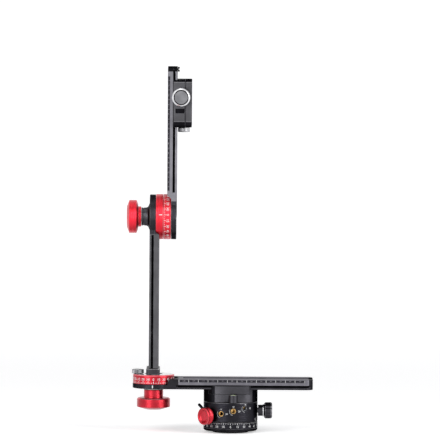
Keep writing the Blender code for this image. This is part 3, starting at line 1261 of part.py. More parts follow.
def make_clamp_carriage(black, body):
    outline = [(CARRIAGE_LEFT, -HALF_CARRIAGE), (SPLIT_X, -HALF_CARRIAGE)]
    outline += [(SPLIT_X, -BED_HALF_WIDTH), (BED_X, -BED_HALF_WIDTH), (BED_X, BED_HALF_WIDTH)]
    outline += [(SPLIT_X, BED_HALF_WIDTH)] + plate_lip(1)
    outline += [(CARRIAGE_RIGHT, HALF_CARRIAGE), (CARRIAGE_LEFT, HALF_CARRIAGE)]
    outline += rail_lip(1) + rail_lip(-1)[::-1]
    solid = prism(outline, CARRIAGE_BOTTOM, CARRIAGE_TOP)
    front = HALF_CARRIAGE + OVER
    z_range = (PLATE_KNOB_Z - TAB_HALF_HEIGHT - GAP, PLATE_KNOB_Z + TAB_HALF_HEIGHT + GAP)
    tab_room = block((TAB_LEFT - GAP, SPLIT_X + OVER), (-front, -TAB_BACK + GAP), z_range)
    neck = rod(GRIP_NECK_RADIUS + GAP, TAB_FRONT, front, MIDDLE)
    deep = TAB_BACK - PLATE_SCREW_DEPTH - GAP
    screw = rod(PLATE_SCREW_RADIUS + GAP, deep, front, SMALL)
    recess_left = CARRIAGE_LEFT + RECESS_LEFT
    recess_low = CARRIAGE_BOTTOM + RECESS_RISE
    recess = block(
        (recess_left, recess_left + RECESS_WIDTH), (-front, -HALF_CARRIAGE + RECESS_IN),
        (recess_low, recess_low + RECESS_HEIGHT),
    )
    thumb = rod(THUMB_SHANK_RADIUS + GAP, CARRIAGE_BOTTOM - OVER, CARRIAGE_BOTTOM + THUMB_GRIP + GAP, SMALL)
    cuts = [tab_room, recess, shifted(thumb, THUMB_X)]
    cuts += [shifted(moved(tool, TO_FRONT), PLATE_KNOB_X, 0, PLATE_KNOB_Z) for tool in (neck, screw)]
    add("clamp_carriage", solid, black, body, cuts=cuts, keep=rounded_envelope())


def make_plate_jaw(black, body):
    lip = plate_lip(-1)
    outline = [(JAW_LEFT_X, -HALF_CARRIAGE), (CARRIAGE_RIGHT, -HALF_CARRIAGE)]
    outline += lip[:0:-1] + [(JAW_LEFT_X, lip[0][1])]
    solid = prism(outline, CARRIAGE_BOTTOM, CARRIAGE_TOP)
    z_range = (PLATE_KNOB_Z - TAB_HALF_HEIGHT, PLATE_KNOB_Z + TAB_HALF_HEIGHT)
    tab = block((TAB_LEFT, JAW_LEFT_X + OVER), (-TAB_FRONT, -TAB_BACK), z_range)
    far = HALF_CARRIAGE + OVER
    relief = rod(KNOB_RELIEF_RADIUS, HALF_CARRIAGE - KNOB_RELIEF_DEPTH, far, MIDDLE)
    neck = rod(GRIP_NECK_RADIUS + GAP, PLATE_KNOB_START - GAP, far, MIDDLE)
    screw = rod(PLATE_SCREW_RADIUS + GAP, TAB_BACK - OVER, far, SMALL)
    cuts = [
        shifted(moved(tool, TO_FRONT), PLATE_KNOB_X, 0, PLATE_KNOB_Z) for tool in (relief, neck, screw)
    ]
    add("plate_jaw", solid, black, body, joins=[tab], cuts=cuts, keep=rounded_envelope())


def make_plate_clamp_knob(silver, steel, body):
    place = (PLATE_KNOB_X, 0, PLATE_KNOB_Z)
    add("plate_clamp_knob", grip_knob(PLATE_SCREW_RADIUS, PLATE_KNOB_START), silver, body, place, TO_FRONT)
    end = PLATE_KNOB_START + GRIP_SOCKET - GAP
    screw = rod(PLATE_SCREW_RADIUS, TAB_BACK - PLATE_SCREW_DEPTH + PLATE_JAW_TRAVEL, end, SMALL)
    add("plate_clamp_screw", screw, steel, body, place, TO_FRONT)


def make_carriage_thumbscrew(silver, body):
    neck_top = CARRIAGE_BOTTOM - GAP
    head_top = neck_top - THUMB_NECK
    head_bottom = head_top - THUMB_HEIGHT
    tip = CARRIAGE_BOTTOM + THUMB_GRIP
    screw = turned([
        (0, head_bottom), (THUMB_RADIUS - THUMB_CHAMFER, head_bottom),
        (THUMB_RADIUS, head_bottom + THUMB_CHAMFER),
        (THUMB_RADIUS, head_top - THUMB_CHAMFER), (THUMB_RADIUS - THUMB_CHAMFER, head_top),
        (THUMB_NECK_RADIUS, head_top), (THUMB_NECK_RADIUS, neck_top), (THUMB_SHANK_RADIUS, neck_top),
        (THUMB_SHANK_RADIUS, tip), (0, tip),
    ], MIDDLE)
    add("carriage_thumbscrew", screw, silver, body, (THUMB_X, 0, 0))


def main():
    clear_scene()
    black = material("black_anodised", (0.022, 0.021, 0.026), 0.42, 0.35)
    red = material("red_anodised", (0.62, 0.012, 0.030), 0.30, 0.75)
    silver = material("bright_steel", (0.80, 0.80, 0.82), 0.22, 1.0)
    steel = material("dark_steel", (0.30, 0.30, 0.32), 0.35, 1.0)
    brass = material("brass", (0.62, 0.45, 0.20), 0.30, 1.0)
    plastic = material("bearing_plastic", (0.55, 0.53, 0.47), 0.55, 0.0)
    glass = material("level_vial", (0.55, 0.75, 0.20), 0.08, 0.0)

    base = frame("base_frame", None, (0, 0, 0))
    pan = frame("pan_axis", base, (0, 0, HOUSING_BOTTOM))
    plunger = frame("plunger_slide", pan, (0, 0, PLUNGER_Z))
    lock = frame("pan_lock_axis", pan, (0, 0, LOCK_Z))
    brake = frame("pan_brake_slide", pan, (0, 0, LOCK_Z))
    jaw = frame("rail_jaw_slide", pan, (PULL_SCREW_X, 0, PULL_SCREW_Z))
    grip = frame("rail_clamp_axis", pan, (PULL_SCREW_X, 0, PULL_SCREW_Z))
    rail = frame("rail_slide", pan, (0, 0, RAIL_BOTTOM))
    arm = frame("swing_axis", rail, (SWING_X, 0, DISC_TOP))
    swing_lock = frame("swing_lock_axis", rail, (SWING_X, 0, NECK_TOP))
    swing_detent = frame("swing_detent_slide", arm, (DETENT_X, 0, DIAL_TOP))
    tilt = frame("tilt_axis", arm, (ARM_LEFT, 0, TILT_Z))
    tilt_lock = frame("tilt_lock_axis", tilt, (TILT_KNOB_RIGHT, 0, TILT_Z))
    carriage = frame("carriage_slide", tilt, (CARRIAGE_INNER, 0, CARRIAGE_BOTTOM))
    plate_jaw = frame("plate_jaw_slide", carriage, (PLATE_KNOB_X, 0, PLATE_KNOB_Z))
    plate_knob = frame("plate_knob_axis", plate_jaw, (PLATE_KNOB_X, 0, PLATE_KNOB_Z))
    thumb = frame("thumbscrew_axis", carriage, (THUMB_X, 0, CARRIAGE_BOTTOM))

    make_base_plate(black, base)
    make_base_fittings(black, steel, base)
    make_spindle(steel, base)
    make_detent_rings(brass, base)
    make_pan_bearing(plastic, steel, base)
    make_rotator_housing(black, pan)
    make_plunger_barrel(steel, black, pan)
    make_plunger(red, steel, plunger)
    make_pan_lock(black, steel, plastic, lock, brake)
    make_rail_clamp_base(black, steel, pan)
    make_level(black, glass, pan)
    make_rail_clamp_jaw(black, steel, jaw)
    make_rail_clamp_knob(black, steel, grip)
    make_lower_rail(black, rail)
    make_swing_dial(red, arm)
    make_arm_foot(black, steel, arm)
    make_swing_fixings(red, steel, plastic, arm, swing_lock)
    make_swing_detent(silver, steel, swing_detent)
    make_lower_arm(black, arm)
    make_tilt_fixed(black, red, brass, arm)
    make_tilt_moving(red, steel, plastic, tilt)
    make_tilt_lock_knob(red, tilt_lock)
    make_upper_rail(black, steel, tilt)
    make_clamp_carriage(black, carriage)
    make_plate_jaw(black, plate_jaw)
    make_plate_clamp_knob(silver, steel, plate_knob)
    make_carriage_thumbscrew(silver, thumb)


main()
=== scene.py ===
"""Panoramic tripod head: turned knobs, dials and rings, engraved scales and anodised finishes."""
import math

import bmesh
import bpy
import numpy as np
from mathutils import Matrix, Vector


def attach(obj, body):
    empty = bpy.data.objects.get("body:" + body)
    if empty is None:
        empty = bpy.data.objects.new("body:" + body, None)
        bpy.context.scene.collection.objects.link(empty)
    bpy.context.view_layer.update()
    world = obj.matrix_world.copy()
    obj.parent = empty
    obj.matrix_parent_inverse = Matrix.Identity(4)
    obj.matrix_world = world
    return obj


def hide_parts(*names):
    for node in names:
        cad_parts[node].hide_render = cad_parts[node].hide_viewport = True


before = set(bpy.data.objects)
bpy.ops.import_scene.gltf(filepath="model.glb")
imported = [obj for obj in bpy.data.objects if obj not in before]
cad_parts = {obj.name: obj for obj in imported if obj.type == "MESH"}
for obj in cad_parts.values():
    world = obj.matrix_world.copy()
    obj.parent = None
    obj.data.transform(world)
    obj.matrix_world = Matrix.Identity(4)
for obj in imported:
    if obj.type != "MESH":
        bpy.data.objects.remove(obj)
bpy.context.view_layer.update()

# Places and sizes that several pieces share, in millimetres and degrees

MM = 0.001
PAN_RADIUS = 28.0
SWING_PLACE = (-80, 0, 0)
SWING_RADIUS = 21.5
DETENT_PLACE = (-96.4, 0, 0)
TILT_PLACE = (0, 0, 223.0)
TILT_RADIUS = 23.5
TILT_SCALE_START = -8
RAIL_HALF_WIDTH = 19.0
SIDE_GROOVE_REACH = 18.5
SIDE_GROOVE_HALF_WIDTH = 4.9
LEVEL_PLACE = (2.6, -27.0, 0)
PLUNGER_ANGLE = -48
PLUNGER_HEIGHT = 18.0
LOCK_ANGLE = 90
LOCK_PLACE = (0, 0, 22.4)

# Each free index hole's angle from the front, its height and its stops to a turn

INDEX_HOLES = ((-21, 20.8, 12), (6, 23.6, 18), (33, 26.4, 36))

# Turns that lay a profile's height along an axis of the head

ALONG_Z = np.eye(3)
ALONG_X = np.array([[0.0, 0.0, 1.0], [0.0, 1.0, 0.0], [-1.0, 0.0, 0.0]])
TO_FRONT = np.array([[1.0, 0.0, 0.0], [0.0, 0.0, -1.0], [0.0, 1.0, 0.0]])
TO_BACK = np.array([[-1.0, 0.0, 0.0], [0.0, 0.0, 1.0], [0.0, 1.0, 0.0]])

# How finely pieces are made: sides of a turned piece, corners in degrees and distances in metres

TURNED_SIDES = 128
KNURLED_SIDES = 192
CORNER_ANGLE = 30
ZONE_CORNER_ANGLE = 24
ON_AXIS = 1e-9
SAME_SPOT = 0.0000005
CAD_SAME_SPOT = 0.000002
PLANE_REACH = 0.000001


# Finishes

DRIFT_CELLS = 85.0
DRIFT_DETAIL, GRAIN_DETAIL, LINE_DETAIL = 3.0, 2.0, 4.0
DRIFT_RANGE = (0.35, 0.65)
GLOSS_RANGE = (0.3, 0.7)
GLOSS_SWING = 0.07
GRAIN_HEIGHT = 0.00002
LINE_HEIGHT = 0.00003
LINE_DENT = 0.35
COAT_ROUGHNESS = 0.22


def new_finish(name):
    """A material with its shader and the tools to wire nodes to it."""
    made = bpy.data.materials.new(name)
    made.use_nodes = True
    tree = made.node_tree
    return made, tree.nodes, tree.links, tree.nodes["Principled BSDF"]


def spread_pattern(nodes, links, scale, detail, stretch=(1, 1, 1)):
    """Noise on the piece's own coordinates, stretched so that it reads as grain or as drawn lines."""
    spot = nodes.new("ShaderNodeTexCoord")
    fit = nodes.new("ShaderNodeMapping")
    fit.inputs["Scale"].default_value = stretch
    noise = nodes.new("ShaderNodeTexNoise")
    noise.inputs["Scale"].default_value = scale
    noise.inputs["Detail"].default_value = detail
    links.new(spot.outputs["Object"], fit.inputs["Vector"])
    links.new(fit.outputs["Vector"], noise.inputs["Vector"])
    return noise.outputs["Fac"]


def between(nodes, links, source, low, high):
    """A pattern's middle range stretched to run from low to high."""
    remap = nodes.new("ShaderNodeMapRange")
    remap.inputs["From Min"].default_value, remap.inputs["From Max"].default_value = GLOSS_RANGE
    remap.inputs["To Min"].default_value, remap.inputs["To Max"].default_value = low, high
    links.new(source, remap.inputs["Value"])
    return remap.outputs["Result"]


def blended(nodes, links, source, first, second):
    """A colour that runs from first to second with a pattern's middle range."""
    ramp = nodes.new("ShaderNodeValToRGB")
    for stop, position, colour in zip(ramp.color_ramp.elements, DRIFT_RANGE, (first, second)):
        stop.position = position
        stop.color = (*colour, 1)
    links.new(source, ramp.inputs["Fac"])
    return ramp.outputs["Color"]


def raised(nodes, links, layers):
    """Bumps stacked on one another, each a pattern with its height in metres and its strength."""
    before = None
    for source, height, strength in layers:
        bump = nodes.new("ShaderNodeBump")
        bump.inputs["Distance"].default_value = height
        bump.inputs["Strength"].default_value = strength
        links.new(source, bump.inputs["Height"])
        if before is not None:
            links.new(before, bump.inputs["Normal"])
        before = bump.outputs["Normal"]
    return before


def brushed(nodes, links, before, pattern, axis, spread):
    """The normal leant to either side along the piece's axis by fine lines, as a cutting tool leaves it.

    The axis, scaled by the pattern less a half and by the spread, is added to the normal, and the sum is made
    one long again.
    """
    lean, line = nodes.new("ShaderNodeMath"), nodes.new("ShaderNodeVectorTransform")
    push, total, even = (nodes.new("ShaderNodeVectorMath") for step in range(3))
    lean.operation = "MULTIPLY_ADD"
    lean.inputs[1].default_value = spread
    lean.inputs[2].default_value = -spread / 2
    line.vector_type, line.convert_from, line.convert_to = "VECTOR", "OBJECT", "WORLD"
    line.inputs["Vector"].default_value = axis
    push.operation, total.operation, even.operation = "SCALE", "ADD", "NORMALIZE"
    links.new(pattern, lean.inputs[0])
    links.new(line.outputs["Vector"], push.inputs["Vector"])
    links.new(lean.outputs["Value"], push.inputs["Scale"])
    links.new(before, total.inputs[0])
    links.new(push.outputs["Vector"], total.inputs[1])
    links.new(total.outputs["Vector"], even.inputs[0])
    return even.outputs["Vector"]


def metal_finish(name, deep, pale, rough, metallic, level=0.5, coat=0.0, beads=4500.0, dent=0.4, rim=1.0,
                 lines=None, brush=None):
    """Machined metal: a colour that drifts over about a centimetre, a fine grain and, if given, tool lines.

    Beads is how many grains lie along a metre, and dent how strongly they show. Rim is how bright the metal
    turns when it is seen along its surface. Lines is the noise's stretch that draws tool lines. Brush is the
    axis across them and how far they spread the light along it.
    """
    made, nodes, links, shader = new_finish(name)
    drift = spread_pattern(nodes, links, DRIFT_CELLS, DRIFT_DETAIL)
    grain = spread_pattern(nodes, links, beads, GRAIN_DETAIL)
    plain = {"Metallic": metallic, "Specular IOR Level": level, "Specular Tint": (rim, rim, rim, 1),
             "Coat Weight": coat, "Coat Roughness": COAT_ROUGHNESS}
    for socket, value in plain.items():
        shader.inputs[socket].default_value = value
    layers = [(grain, GRAIN_HEIGHT, dent)]
    rough_source = grain
    if lines is not None:
        drawn = spread_pattern(nodes, links, 1.0, LINE_DETAIL, lines)
        layers.append((drawn, LINE_HEIGHT, LINE_DENT))
        rough_source = drawn
    colour = blended(nodes, links, drift, deep, pale)
    gloss = between(nodes, links, rough_source, rough - GLOSS_SWING, rough + GLOSS_SWING)
    normal = raised(nodes, links, layers)
    if brush is not None:
        normal = brushed(nodes, links, normal, drawn, *brush)
    links.new(colour, shader.inputs["Base Color"])
    links.new(gloss, shader.inputs["Roughness"])
    links.new(normal, shader.inputs["Normal"])
    if coat > 0:
        links.new(normal, shader.inputs["Coat Normal"])
    return made


TURNED_Z = {"lines": (60, 60, 9000), "brush": ((0, 0, 1), 1.3)}
TURNED_X = {"lines": (9000, 60, 60), "brush": ((1, 0, 0), 3.0)}
DRAWN_X = {"lines": (60, 5000, 5000)}
DRAWN_Z = {"lines": (5000, 5000, 60)}

black = metal_finish("black_anodised", (0.016, 0.0155, 0.0185), (0.023, 0.0225, 0.026), 0.36, 1.0, rim=0.45)
black_turned = metal_finish("black_turned", (0.0155, 0.015, 0.0185), (0.021, 0.0205, 0.025), 0.30, 1.0,
                            rim=0.4, **TURNED_Z)
# Painted shade: the discs at the pivots are painted darker than the bars they belong to, so that their round
# sides read dark.
disc_shade_lying = metal_finish("disc_painted_shade_lying", (0.018, 0.0175, 0.021), (0.025, 0.0245, 0.029), 0.30, 1.0,
                          rim=0.4, **TURNED_Z)
disc_shade_upright = metal_finish("disc_painted_shade_upright", (0.020, 0.0195, 0.023), (0.027, 0.026, 0.031), 0.28, 1.0,
                            rim=0.4, **TURNED_X)
rail_lower = metal_finish("rail_satin_lying", (0.128, 0.124, 0.142), (0.162, 0.157, 0.180), 0.40, 0.80, 0.4,
                          rim=0.5, **DRAWN_X)
rail_upright = metal_finish("rail_satin_upright", (0.071, 0.070, 0.076), (0.092, 0.091, 0.098), 0.40, 0.80,
                            0.4, rim=0.5, **DRAWN_Z)
rail_upper = metal_finish("rail_satin_upper", (0.156, 0.153, 0.170), (0.198, 0.194, 0.215), 0.40, 0.80, 0.4,
                          rim=0.5, **DRAWN_Z)
# Painted shade: the darkest black, laid in grooves, slots and splits, on sides and ends that fall into shade
# and on the base plate; it is also the printed ring on the level.
painted_shade_and_print_black = metal_finish("painted_shade_and_print_black", (0.006, 0.0058, 0.007), (0.010, 0.0096, 0.012), 0.5, 1.0,
                            rim=0.25)
scale_ground = metal_finish("scale_ground", (0.021, 0.020, 0.025), (0.029, 0.028, 0.034), 0.45, 0.9, 0.3,
                            rim=0.4)
clamp_black = metal_finish("clamp_satin", (0.034, 0.033, 0.038), (0.046, 0.045, 0.051), 0.34, 1.0, rim=0.5)
jaw_satin = metal_finish("jaw_satin", (0.048, 0.047, 0.053), (0.063, 0.061, 0.069), 0.34, 1.0, rim=0.5)
black_boss = metal_finish("black_boss", (0.058, 0.057, 0.064), (0.076, 0.074, 0.083), 0.28, 1.0,
                          rim=0.4, **TURNED_X)
clamp_grey = metal_finish("clamp_grey", (0.066, 0.065, 0.070), (0.086, 0.085, 0.092), 0.38, 0.9, 0.4, rim=0.5)
worn_edge = metal_finish("worn_edge", (0.05, 0.049, 0.056), (0.42, 0.41, 0.43), 0.34, 0.8, dent=0.8)
edge_line = metal_finish("edge_line", (0.16, 0.157, 0.168), (0.24, 0.235, 0.25), 0.36, 0.9, dent=0.8)
soft_edge = metal_finish("soft_edge", (0.05, 0.049, 0.056), (0.15, 0.147, 0.158), 0.36, 0.9, dent=0.8)
# Painted shade: the swing joint's red is a darker copy of the lying red, for the rail's shadow on the joint.
red_z = metal_finish("red_turned_upright_painted_shade", (0.38, 0.004, 0.014), (0.48, 0.008, 0.024), 0.30, 0.86, 0.4, 0.34,
                     6000.0, 0.15, **TURNED_Z)
red_x = metal_finish("red_turned_lying", (0.56, 0.004, 0.016), (0.68, 0.008, 0.028), 0.30, 0.86, 0.4, 0.38,
                     6000.0, 0.15, **TURNED_X)
red_plain = metal_finish("red_anodised", (0.42, 0.005, 0.016), (0.53, 0.009, 0.027), 0.26, 0.70, 0.5, 0.30,
                         6000.0, 0.15)
red_edge = metal_finish("red_edge", (0.66, 0.03, 0.06), (0.85, 0.24, 0.26), 0.25, 0.6, 0.5, 0.3)
steel = metal_finish("bright_steel", (0.62, 0.62, 0.64), (0.76, 0.76, 0.78), 0.20, 1.0,
                     beads=2500.0, dent=0.1)
steel_satin = metal_finish("satin_steel", (0.22, 0.22, 0.23), (0.34, 0.34, 0.35), 0.30, 1.0,
                           beads=2500.0, dent=0.3)
steel_face = metal_finish("steel_face", (0.14, 0.14, 0.15), (0.21, 0.21, 0.22), 0.38, 1.0,
                          beads=3000.0, dent=0.8)
steel_dark = metal_finish("dark_steel", (0.10, 0.10, 0.11), (0.17, 0.17, 0.18), 0.36, 1.0, beads=2500.0)
brass = metal_finish("brass", (0.55, 0.33, 0.11), (0.72, 0.48, 0.20), 0.26, 1.0, beads=2500.0, dent=0.2)
plastic = metal_finish("bearing_plastic", (0.50, 0.48, 0.43), (0.58, 0.56, 0.50), 0.55, 0.0, beads=1800.0)
engraved = metal_finish("white_engraving", (0.60, 0.60, 0.60), (0.72, 0.72, 0.72), 0.60, 0.0, 0.3,
                        beads=5000.0)
engraved_fine = metal_finish("grey_engraving", (0.16, 0.15, 0.17), (0.24, 0.23, 0.25), 0.60, 0.0, 0.3,
                             beads=5000.0)
vial_green = metal_finish("level_vial", (0.46, 0.72, 0.10), (0.60, 0.86, 0.18), 0.08, 0.0, 0.5, 0.6,
                          dent=0.02)


# Turned pieces

CORNER_SHARE = 0.45
HOLD_SHARE = 0.12


def softened(points, radii, steps=4):
    """A profile with round corners.

    Each corner becomes a quadratic Bezier curve that starts and ends on the corner's two sides and has the
    corner as its middle control point. One more point is held just past each end.
    """
    flat = []
    count = len(points)
    for number in range(count):
        corner = np.array(points[number], float)
        radius = radii[number]
        if radius <= 0 or number in (0, count - 1):
            flat.append(corner[None])
            continue
        back = np.array(points[number - 1], float) - corner
        ahead = np.array(points[number + 1], float) - corner
        reach = min(radius, CORNER_SHARE * np.linalg.norm(back), CORNER_SHARE * np.linalg.norm(ahead))
        back, ahead = back / np.linalg.norm(back), ahead / np.linalg.norm(ahead)
        along = np.linspace(0, 1, steps + 1)[:, None]
        start, end = corner + back * reach, corner + ahead * reach
        curve = (1 - along) ** 2 * start + 2 * along * (1 - along) * corner + along ** 2 * end
        hold = HOLD_SHARE * reach
        flat.append(np.vstack([start + back * hold, curve, end + ahead * hold]))
    return np.vstack(flat)


def into_mesh(name, points, faces, paints, marks=None):
    """A mesh object from whole arrays, its doubles merged and its faces turned outwards."""
    mesh = bpy.data.meshes.new(name)
    mesh.from_pydata(points, [], faces)
    if marks is not None:
        mesh.polygons.foreach_set("material_index", np.asarray(marks, np.int32))
    for paint in paints:
        mesh.materials.append(paint)
    clean = bmesh.new()
    clean.from_mesh(mesh)
    bmesh.ops.remove_doubles(clean, verts=clean.verts, dist=SAME_SPOT)
    bmesh.ops.dissolve_degenerate(clean, edges=clean.edges, dist=SAME_SPOT)
    bmesh.ops.recalc_face_normals(clean, faces=clean.faces)
    clean.to_mesh(mesh)
    clean.free()
    mesh.shade_smooth()
    mesh.set_sharp_from_angle(angle=math.radians(CORNER_ANGLE))
    piece = bpy.data.objects.new(name, mesh)
    bpy.context.scene.collection.objects.link(piece)
    return piece


def placed(piece, body, stands_for):
    """The piece on its body, in place of the nodes that it stands for."""
    if stands_for:
        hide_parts(*stands_for)
    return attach(piece, body)


def turned_surface(profile, turn, place, sides, relief=None, closed=False):
    """Points and quads of a surface of revolution.

    Point (i, j) is the i-th (radius, height) of the profile turned by the j-th angle, and relief adds to the
    radius. A closed profile also joins its last row to its first.
    """
    profile = np.asarray(profile, float)
    angle = np.linspace(0, 2 * math.pi, sides, endpoint=False)
    radius, height = profile[:, :1], profile[:, 1:2]
    swell = np.zeros((len(profile), sides)) if relief is None else relief(radius, height, angle[None])
    round_radius = np.where(radius > ON_AXIS, radius + swell, 0.0)
    spots = np.stack([round_radius * np.sin(angle), -round_radius * np.cos(angle),
                      np.broadcast_to(height, round_radius.shape)], -1).reshape(-1, 3)
    spots = (spots @ turn.T + np.asarray(place, float)) * MM
    rows = len(profile) if closed else len(profile) - 1
    row, column = np.meshgrid(np.arange(rows), np.arange(sides), indexing="ij")
    ahead, beside = (row + 1) % len(profile), (column + 1) % sides
    faces = np.stack([row * sides + column, row * sides + beside,
                      ahead * sides + beside, ahead * sides + column], -1).reshape(-1, 4)
    return spots, faces


def turned_piece(name, body, profile, paints, turn=ALONG_Z, place=(0, 0, 0), stands_for=(),
                 sides=TURNED_SIDES, relief=None, closed=False, worn=None):
    """A turned piece on its body.

    Worn is a rule on radius and height that gives each row of faces its paint's number, for worn edges and,
    on the plate knob, for painted shade.
    """
    profile = np.asarray(profile, float)
    spots, faces = turned_surface(profile, turn, place, sides, relief, closed)
    marks = None
    if worn is not None:
        middle = (profile + np.roll(profile, -1, axis=0)) / 2
        chosen = worn(middle[:, 0], middle[:, 1])[: len(faces) // sides]
        marks = np.repeat(chosen.astype(int), sides)
    return placed(into_mesh(name, spots, faces.tolist(), paints, marks), body, stands_for)


def within(inner, outer, low=-math.inf, high=math.inf):
    """A rule that picks the rows whose radius and height lie between these bounds."""
    def rule(radius, height):
        return (radius > inner) & (radius < outer) & (height > low) & (height < high)
    return rule


def knurl(count, depth, low, high):
    """Straight knurl: a saw with round hollows on the rows between two heights.

    The radius dips by the depth times one less the size of a sine that runs round the piece.
    """
    def relief(radius, height, angle):
        inside = (height > low) & (height < high)
        wave = np.abs(np.sin(angle * count / 2))
        return np.where(inside, depth * (wave - 1.0), 0.0)
    return relief


def ribbed(radius, low, high, count, depth):
    """Rows of a drum with rounded rings turned into it.

    The radius dips by the depth times the sixth power of a cosine that has its peaks at the grooves.
    """
    share = np.linspace(0, 1, count * 6 + 1)
    dip = depth * np.abs(np.cos(math.pi * count * share)) ** 6
    return np.stack([radius - dip, low + (high - low) * share], -1)


def threaded(radius, low, high, pitch, depth):
    """Rows of a screw thread seen as rings: the radius rises and falls once in each pitch."""
    count = max(2, int(round(abs(high - low) / pitch)))
    share = np.linspace(0, 1, 2 * count + 1)
    teeth = np.where(np.arange(2 * count + 1) % 2 == 0, radius - depth, radius)
    return np.stack([teeth, low + (high - low) * share], -1)


def leaning(degrees):
    """Lay a profile's height outward from the pan axis, at this angle from the front, with its Y up."""
    swing = math.radians(degrees)
    spin = np.array([[math.cos(swing), -math.sin(swing), 0.0],
                     [math.sin(swing), math.cos(swing), 0.0],
                     [0.0, 0.0, 1.0]])
    return spin @ TO_FRONT


def cut_by(piece, cutters):
    """Take away what each cutter encloses, and keep the outcome as the piece's mesh."""
    tools = []
    for number, (spots, faces) in enumerate(cutters):
        tool = into_mesh(f"{piece.name}_cutter_{number}", spots, faces.tolist(), [])
        cut = piece.modifiers.new(f"cut_{number}", "BOOLEAN")
        cut.operation = "DIFFERENCE"
        cut.solver = "EXACT"
        cut.object = tool
        tools.append(tool)
    bpy.context.view_layer.update()
    ready = piece.evaluated_get(bpy.context.evaluated_depsgraph_get())
    mesh = bpy.data.meshes.new_from_object(ready)
    mesh.name = piece.name
    piece.modifiers.clear()
    piece.data = mesh
    for tool in tools:
        bpy.data.objects.remove(tool, do_unlink=True)
    mesh.set_sharp_from_angle(angle=math.radians(CORNER_ANGLE))


# Cut pieces that keep the frame's own shape

FLAT_ANGLE = 1.0
BROKEN_PAST_ANGLE = 5
BROKEN_SEGMENTS = 2
BAR_EDGES = {"edge": 0.3, "smooth": ZONE_CORNER_ANGLE}


def own_copy(node, name, body, paint, edge_paint, edge=0.25, smooth=CORNER_ANGLE):
    """The node's own triangles joined into one skin, with flat faces made whole and its corners broken."""
    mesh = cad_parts[node].data.copy()
    mesh.name = name
    clean = bmesh.new()
    clean.from_mesh(mesh)
    bmesh.ops.remove_doubles(clean, verts=clean.verts, dist=CAD_SAME_SPOT)
    bmesh.ops.dissolve_limit(clean, angle_limit=math.radians(FLAT_ANGLE), verts=clean.verts,
                             edges=clean.edges)
    bmesh.ops.recalc_face_normals(clean, faces=clean.faces)
    clean.to_mesh(mesh)
    clean.free()
    mesh.materials.clear()
    mesh.materials.append(paint)
    mesh.materials.append(edge_paint)
    mesh.polygons.foreach_set("material_index", np.zeros(len(mesh.polygons), np.int32))
    mesh.shade_smooth()
    mesh.set_sharp_from_angle(angle=math.radians(smooth))
    piece = bpy.data.objects.new(name, mesh)
    bpy.context.scene.collection.objects.link(piece)
    bevel = piece.modifiers.new("broken_edges", "BEVEL")
    bevel.width = edge * MM
    bevel.segments = BROKEN_SEGMENTS
    bevel.limit_method = "ANGLE"
    bevel.angle_limit = math.radians(smooth + BROKEN_PAST_ANGLE)
    bevel.harden_normals = True
    bevel.use_clamp_overlap = True
    bevel.material = 1
    return placed(piece, body, [node])


def zoned(piece, cuts, rule, *paints):
    """Split a piece's faces at planes, given as an axis and a place in millimetres, and paint them by a rule.

    The rule takes each face's middle, in millimetres, and gives nought or the number of a paint.
    """
    mesh = piece.data
    clean = bmesh.new()
    clean.from_mesh(mesh)
    for axis, place in cuts:
        spot, facing = np.zeros(3), np.zeros(3)
        spot[axis], facing[axis] = place * MM, 1.0
        bmesh.ops.bisect_plane(clean, geom=clean.verts[:] + clean.edges[:] + clean.faces[:], dist=PLANE_REACH,
                               plane_co=spot, plane_no=facing)
    clean.to_mesh(mesh)
    clean.free()
    middle = np.zeros(len(mesh.polygons) * 3)
    mesh.polygons.foreach_get("center", middle)
    chosen = rule(*(middle.reshape(-1, 3) / MM).T)
    for paint in paints:
        mesh.materials.append(paint)
    mesh.polygons.foreach_set("material_index", np.where(chosen > 0, chosen + 1, 0).astype(np.int32))
    mesh.set_sharp_from_angle(angle=math.radians(ZONE_CORNER_ANGLE))


def painted(paint, *nodes):
    """Frame nodes that keep their mesh and get a better finish."""
    for node in nodes:
        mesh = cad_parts[node].data
        mesh.materials.clear()
        mesh.materials.append(paint)


# Engraving

FIGURE_SIZE = 1.38
FIGURE_BOLD = 0.012
TWO_FIGURES_SQUEEZE = 0.9
THREE_FIGURES_SQUEEZE = 0.68
RAIL_FIGURES_SQUEEZE = 1.2
RAIL_LINE, RAIL_FINE_LINE = 0.36, 0.16
PRINT_THICK = 0.05
GROUND_PROUD, FIGURES_PROUD, LINES_PROUD = 0.012, 0.028, 0.03
BAR_SPOTS = np.array([[x, y, z] for z in (-0.5, 0.5) for y in (0, 1) for x in (-0.5, 0.5)], float)
BAR_FACES = [(0, 2, 3, 1), (4, 5, 7, 6), (0, 1, 5, 4), (2, 6, 7, 3), (0, 4, 6, 2), (1, 3, 7, 5)]
ARC_STEPS = 14
GLYPHS = {}


def word_shape(text):
    """Points and faces of a short plain number, one unit high and deep, centred on its width."""
    if text not in GLYPHS:
        curve = bpy.data.curves.new("number", "FONT")
        curve.body = text
        curve.size = FIGURE_SIZE
        curve.align_x = "CENTER"
        curve.align_y = "BOTTOM_BASELINE"
        curve.extrude = 0.5
        curve.offset = FIGURE_BOLD
        curve.resolution_u = 2
        holder = bpy.data.objects.new("number", curve)
        mesh = bpy.data.meshes.new_from_object(holder)
        spots = np.zeros(len(mesh.vertices) * 3)
        mesh.vertices.foreach_get("co", spots)
        GLYPHS[text] = (spots.reshape(-1, 3), [tuple(face.vertices) for face in mesh.polygons])
        bpy.data.objects.remove(holder)
        bpy.data.curves.remove(curve)
        bpy.data.meshes.remove(mesh)
    return GLYPHS[text]


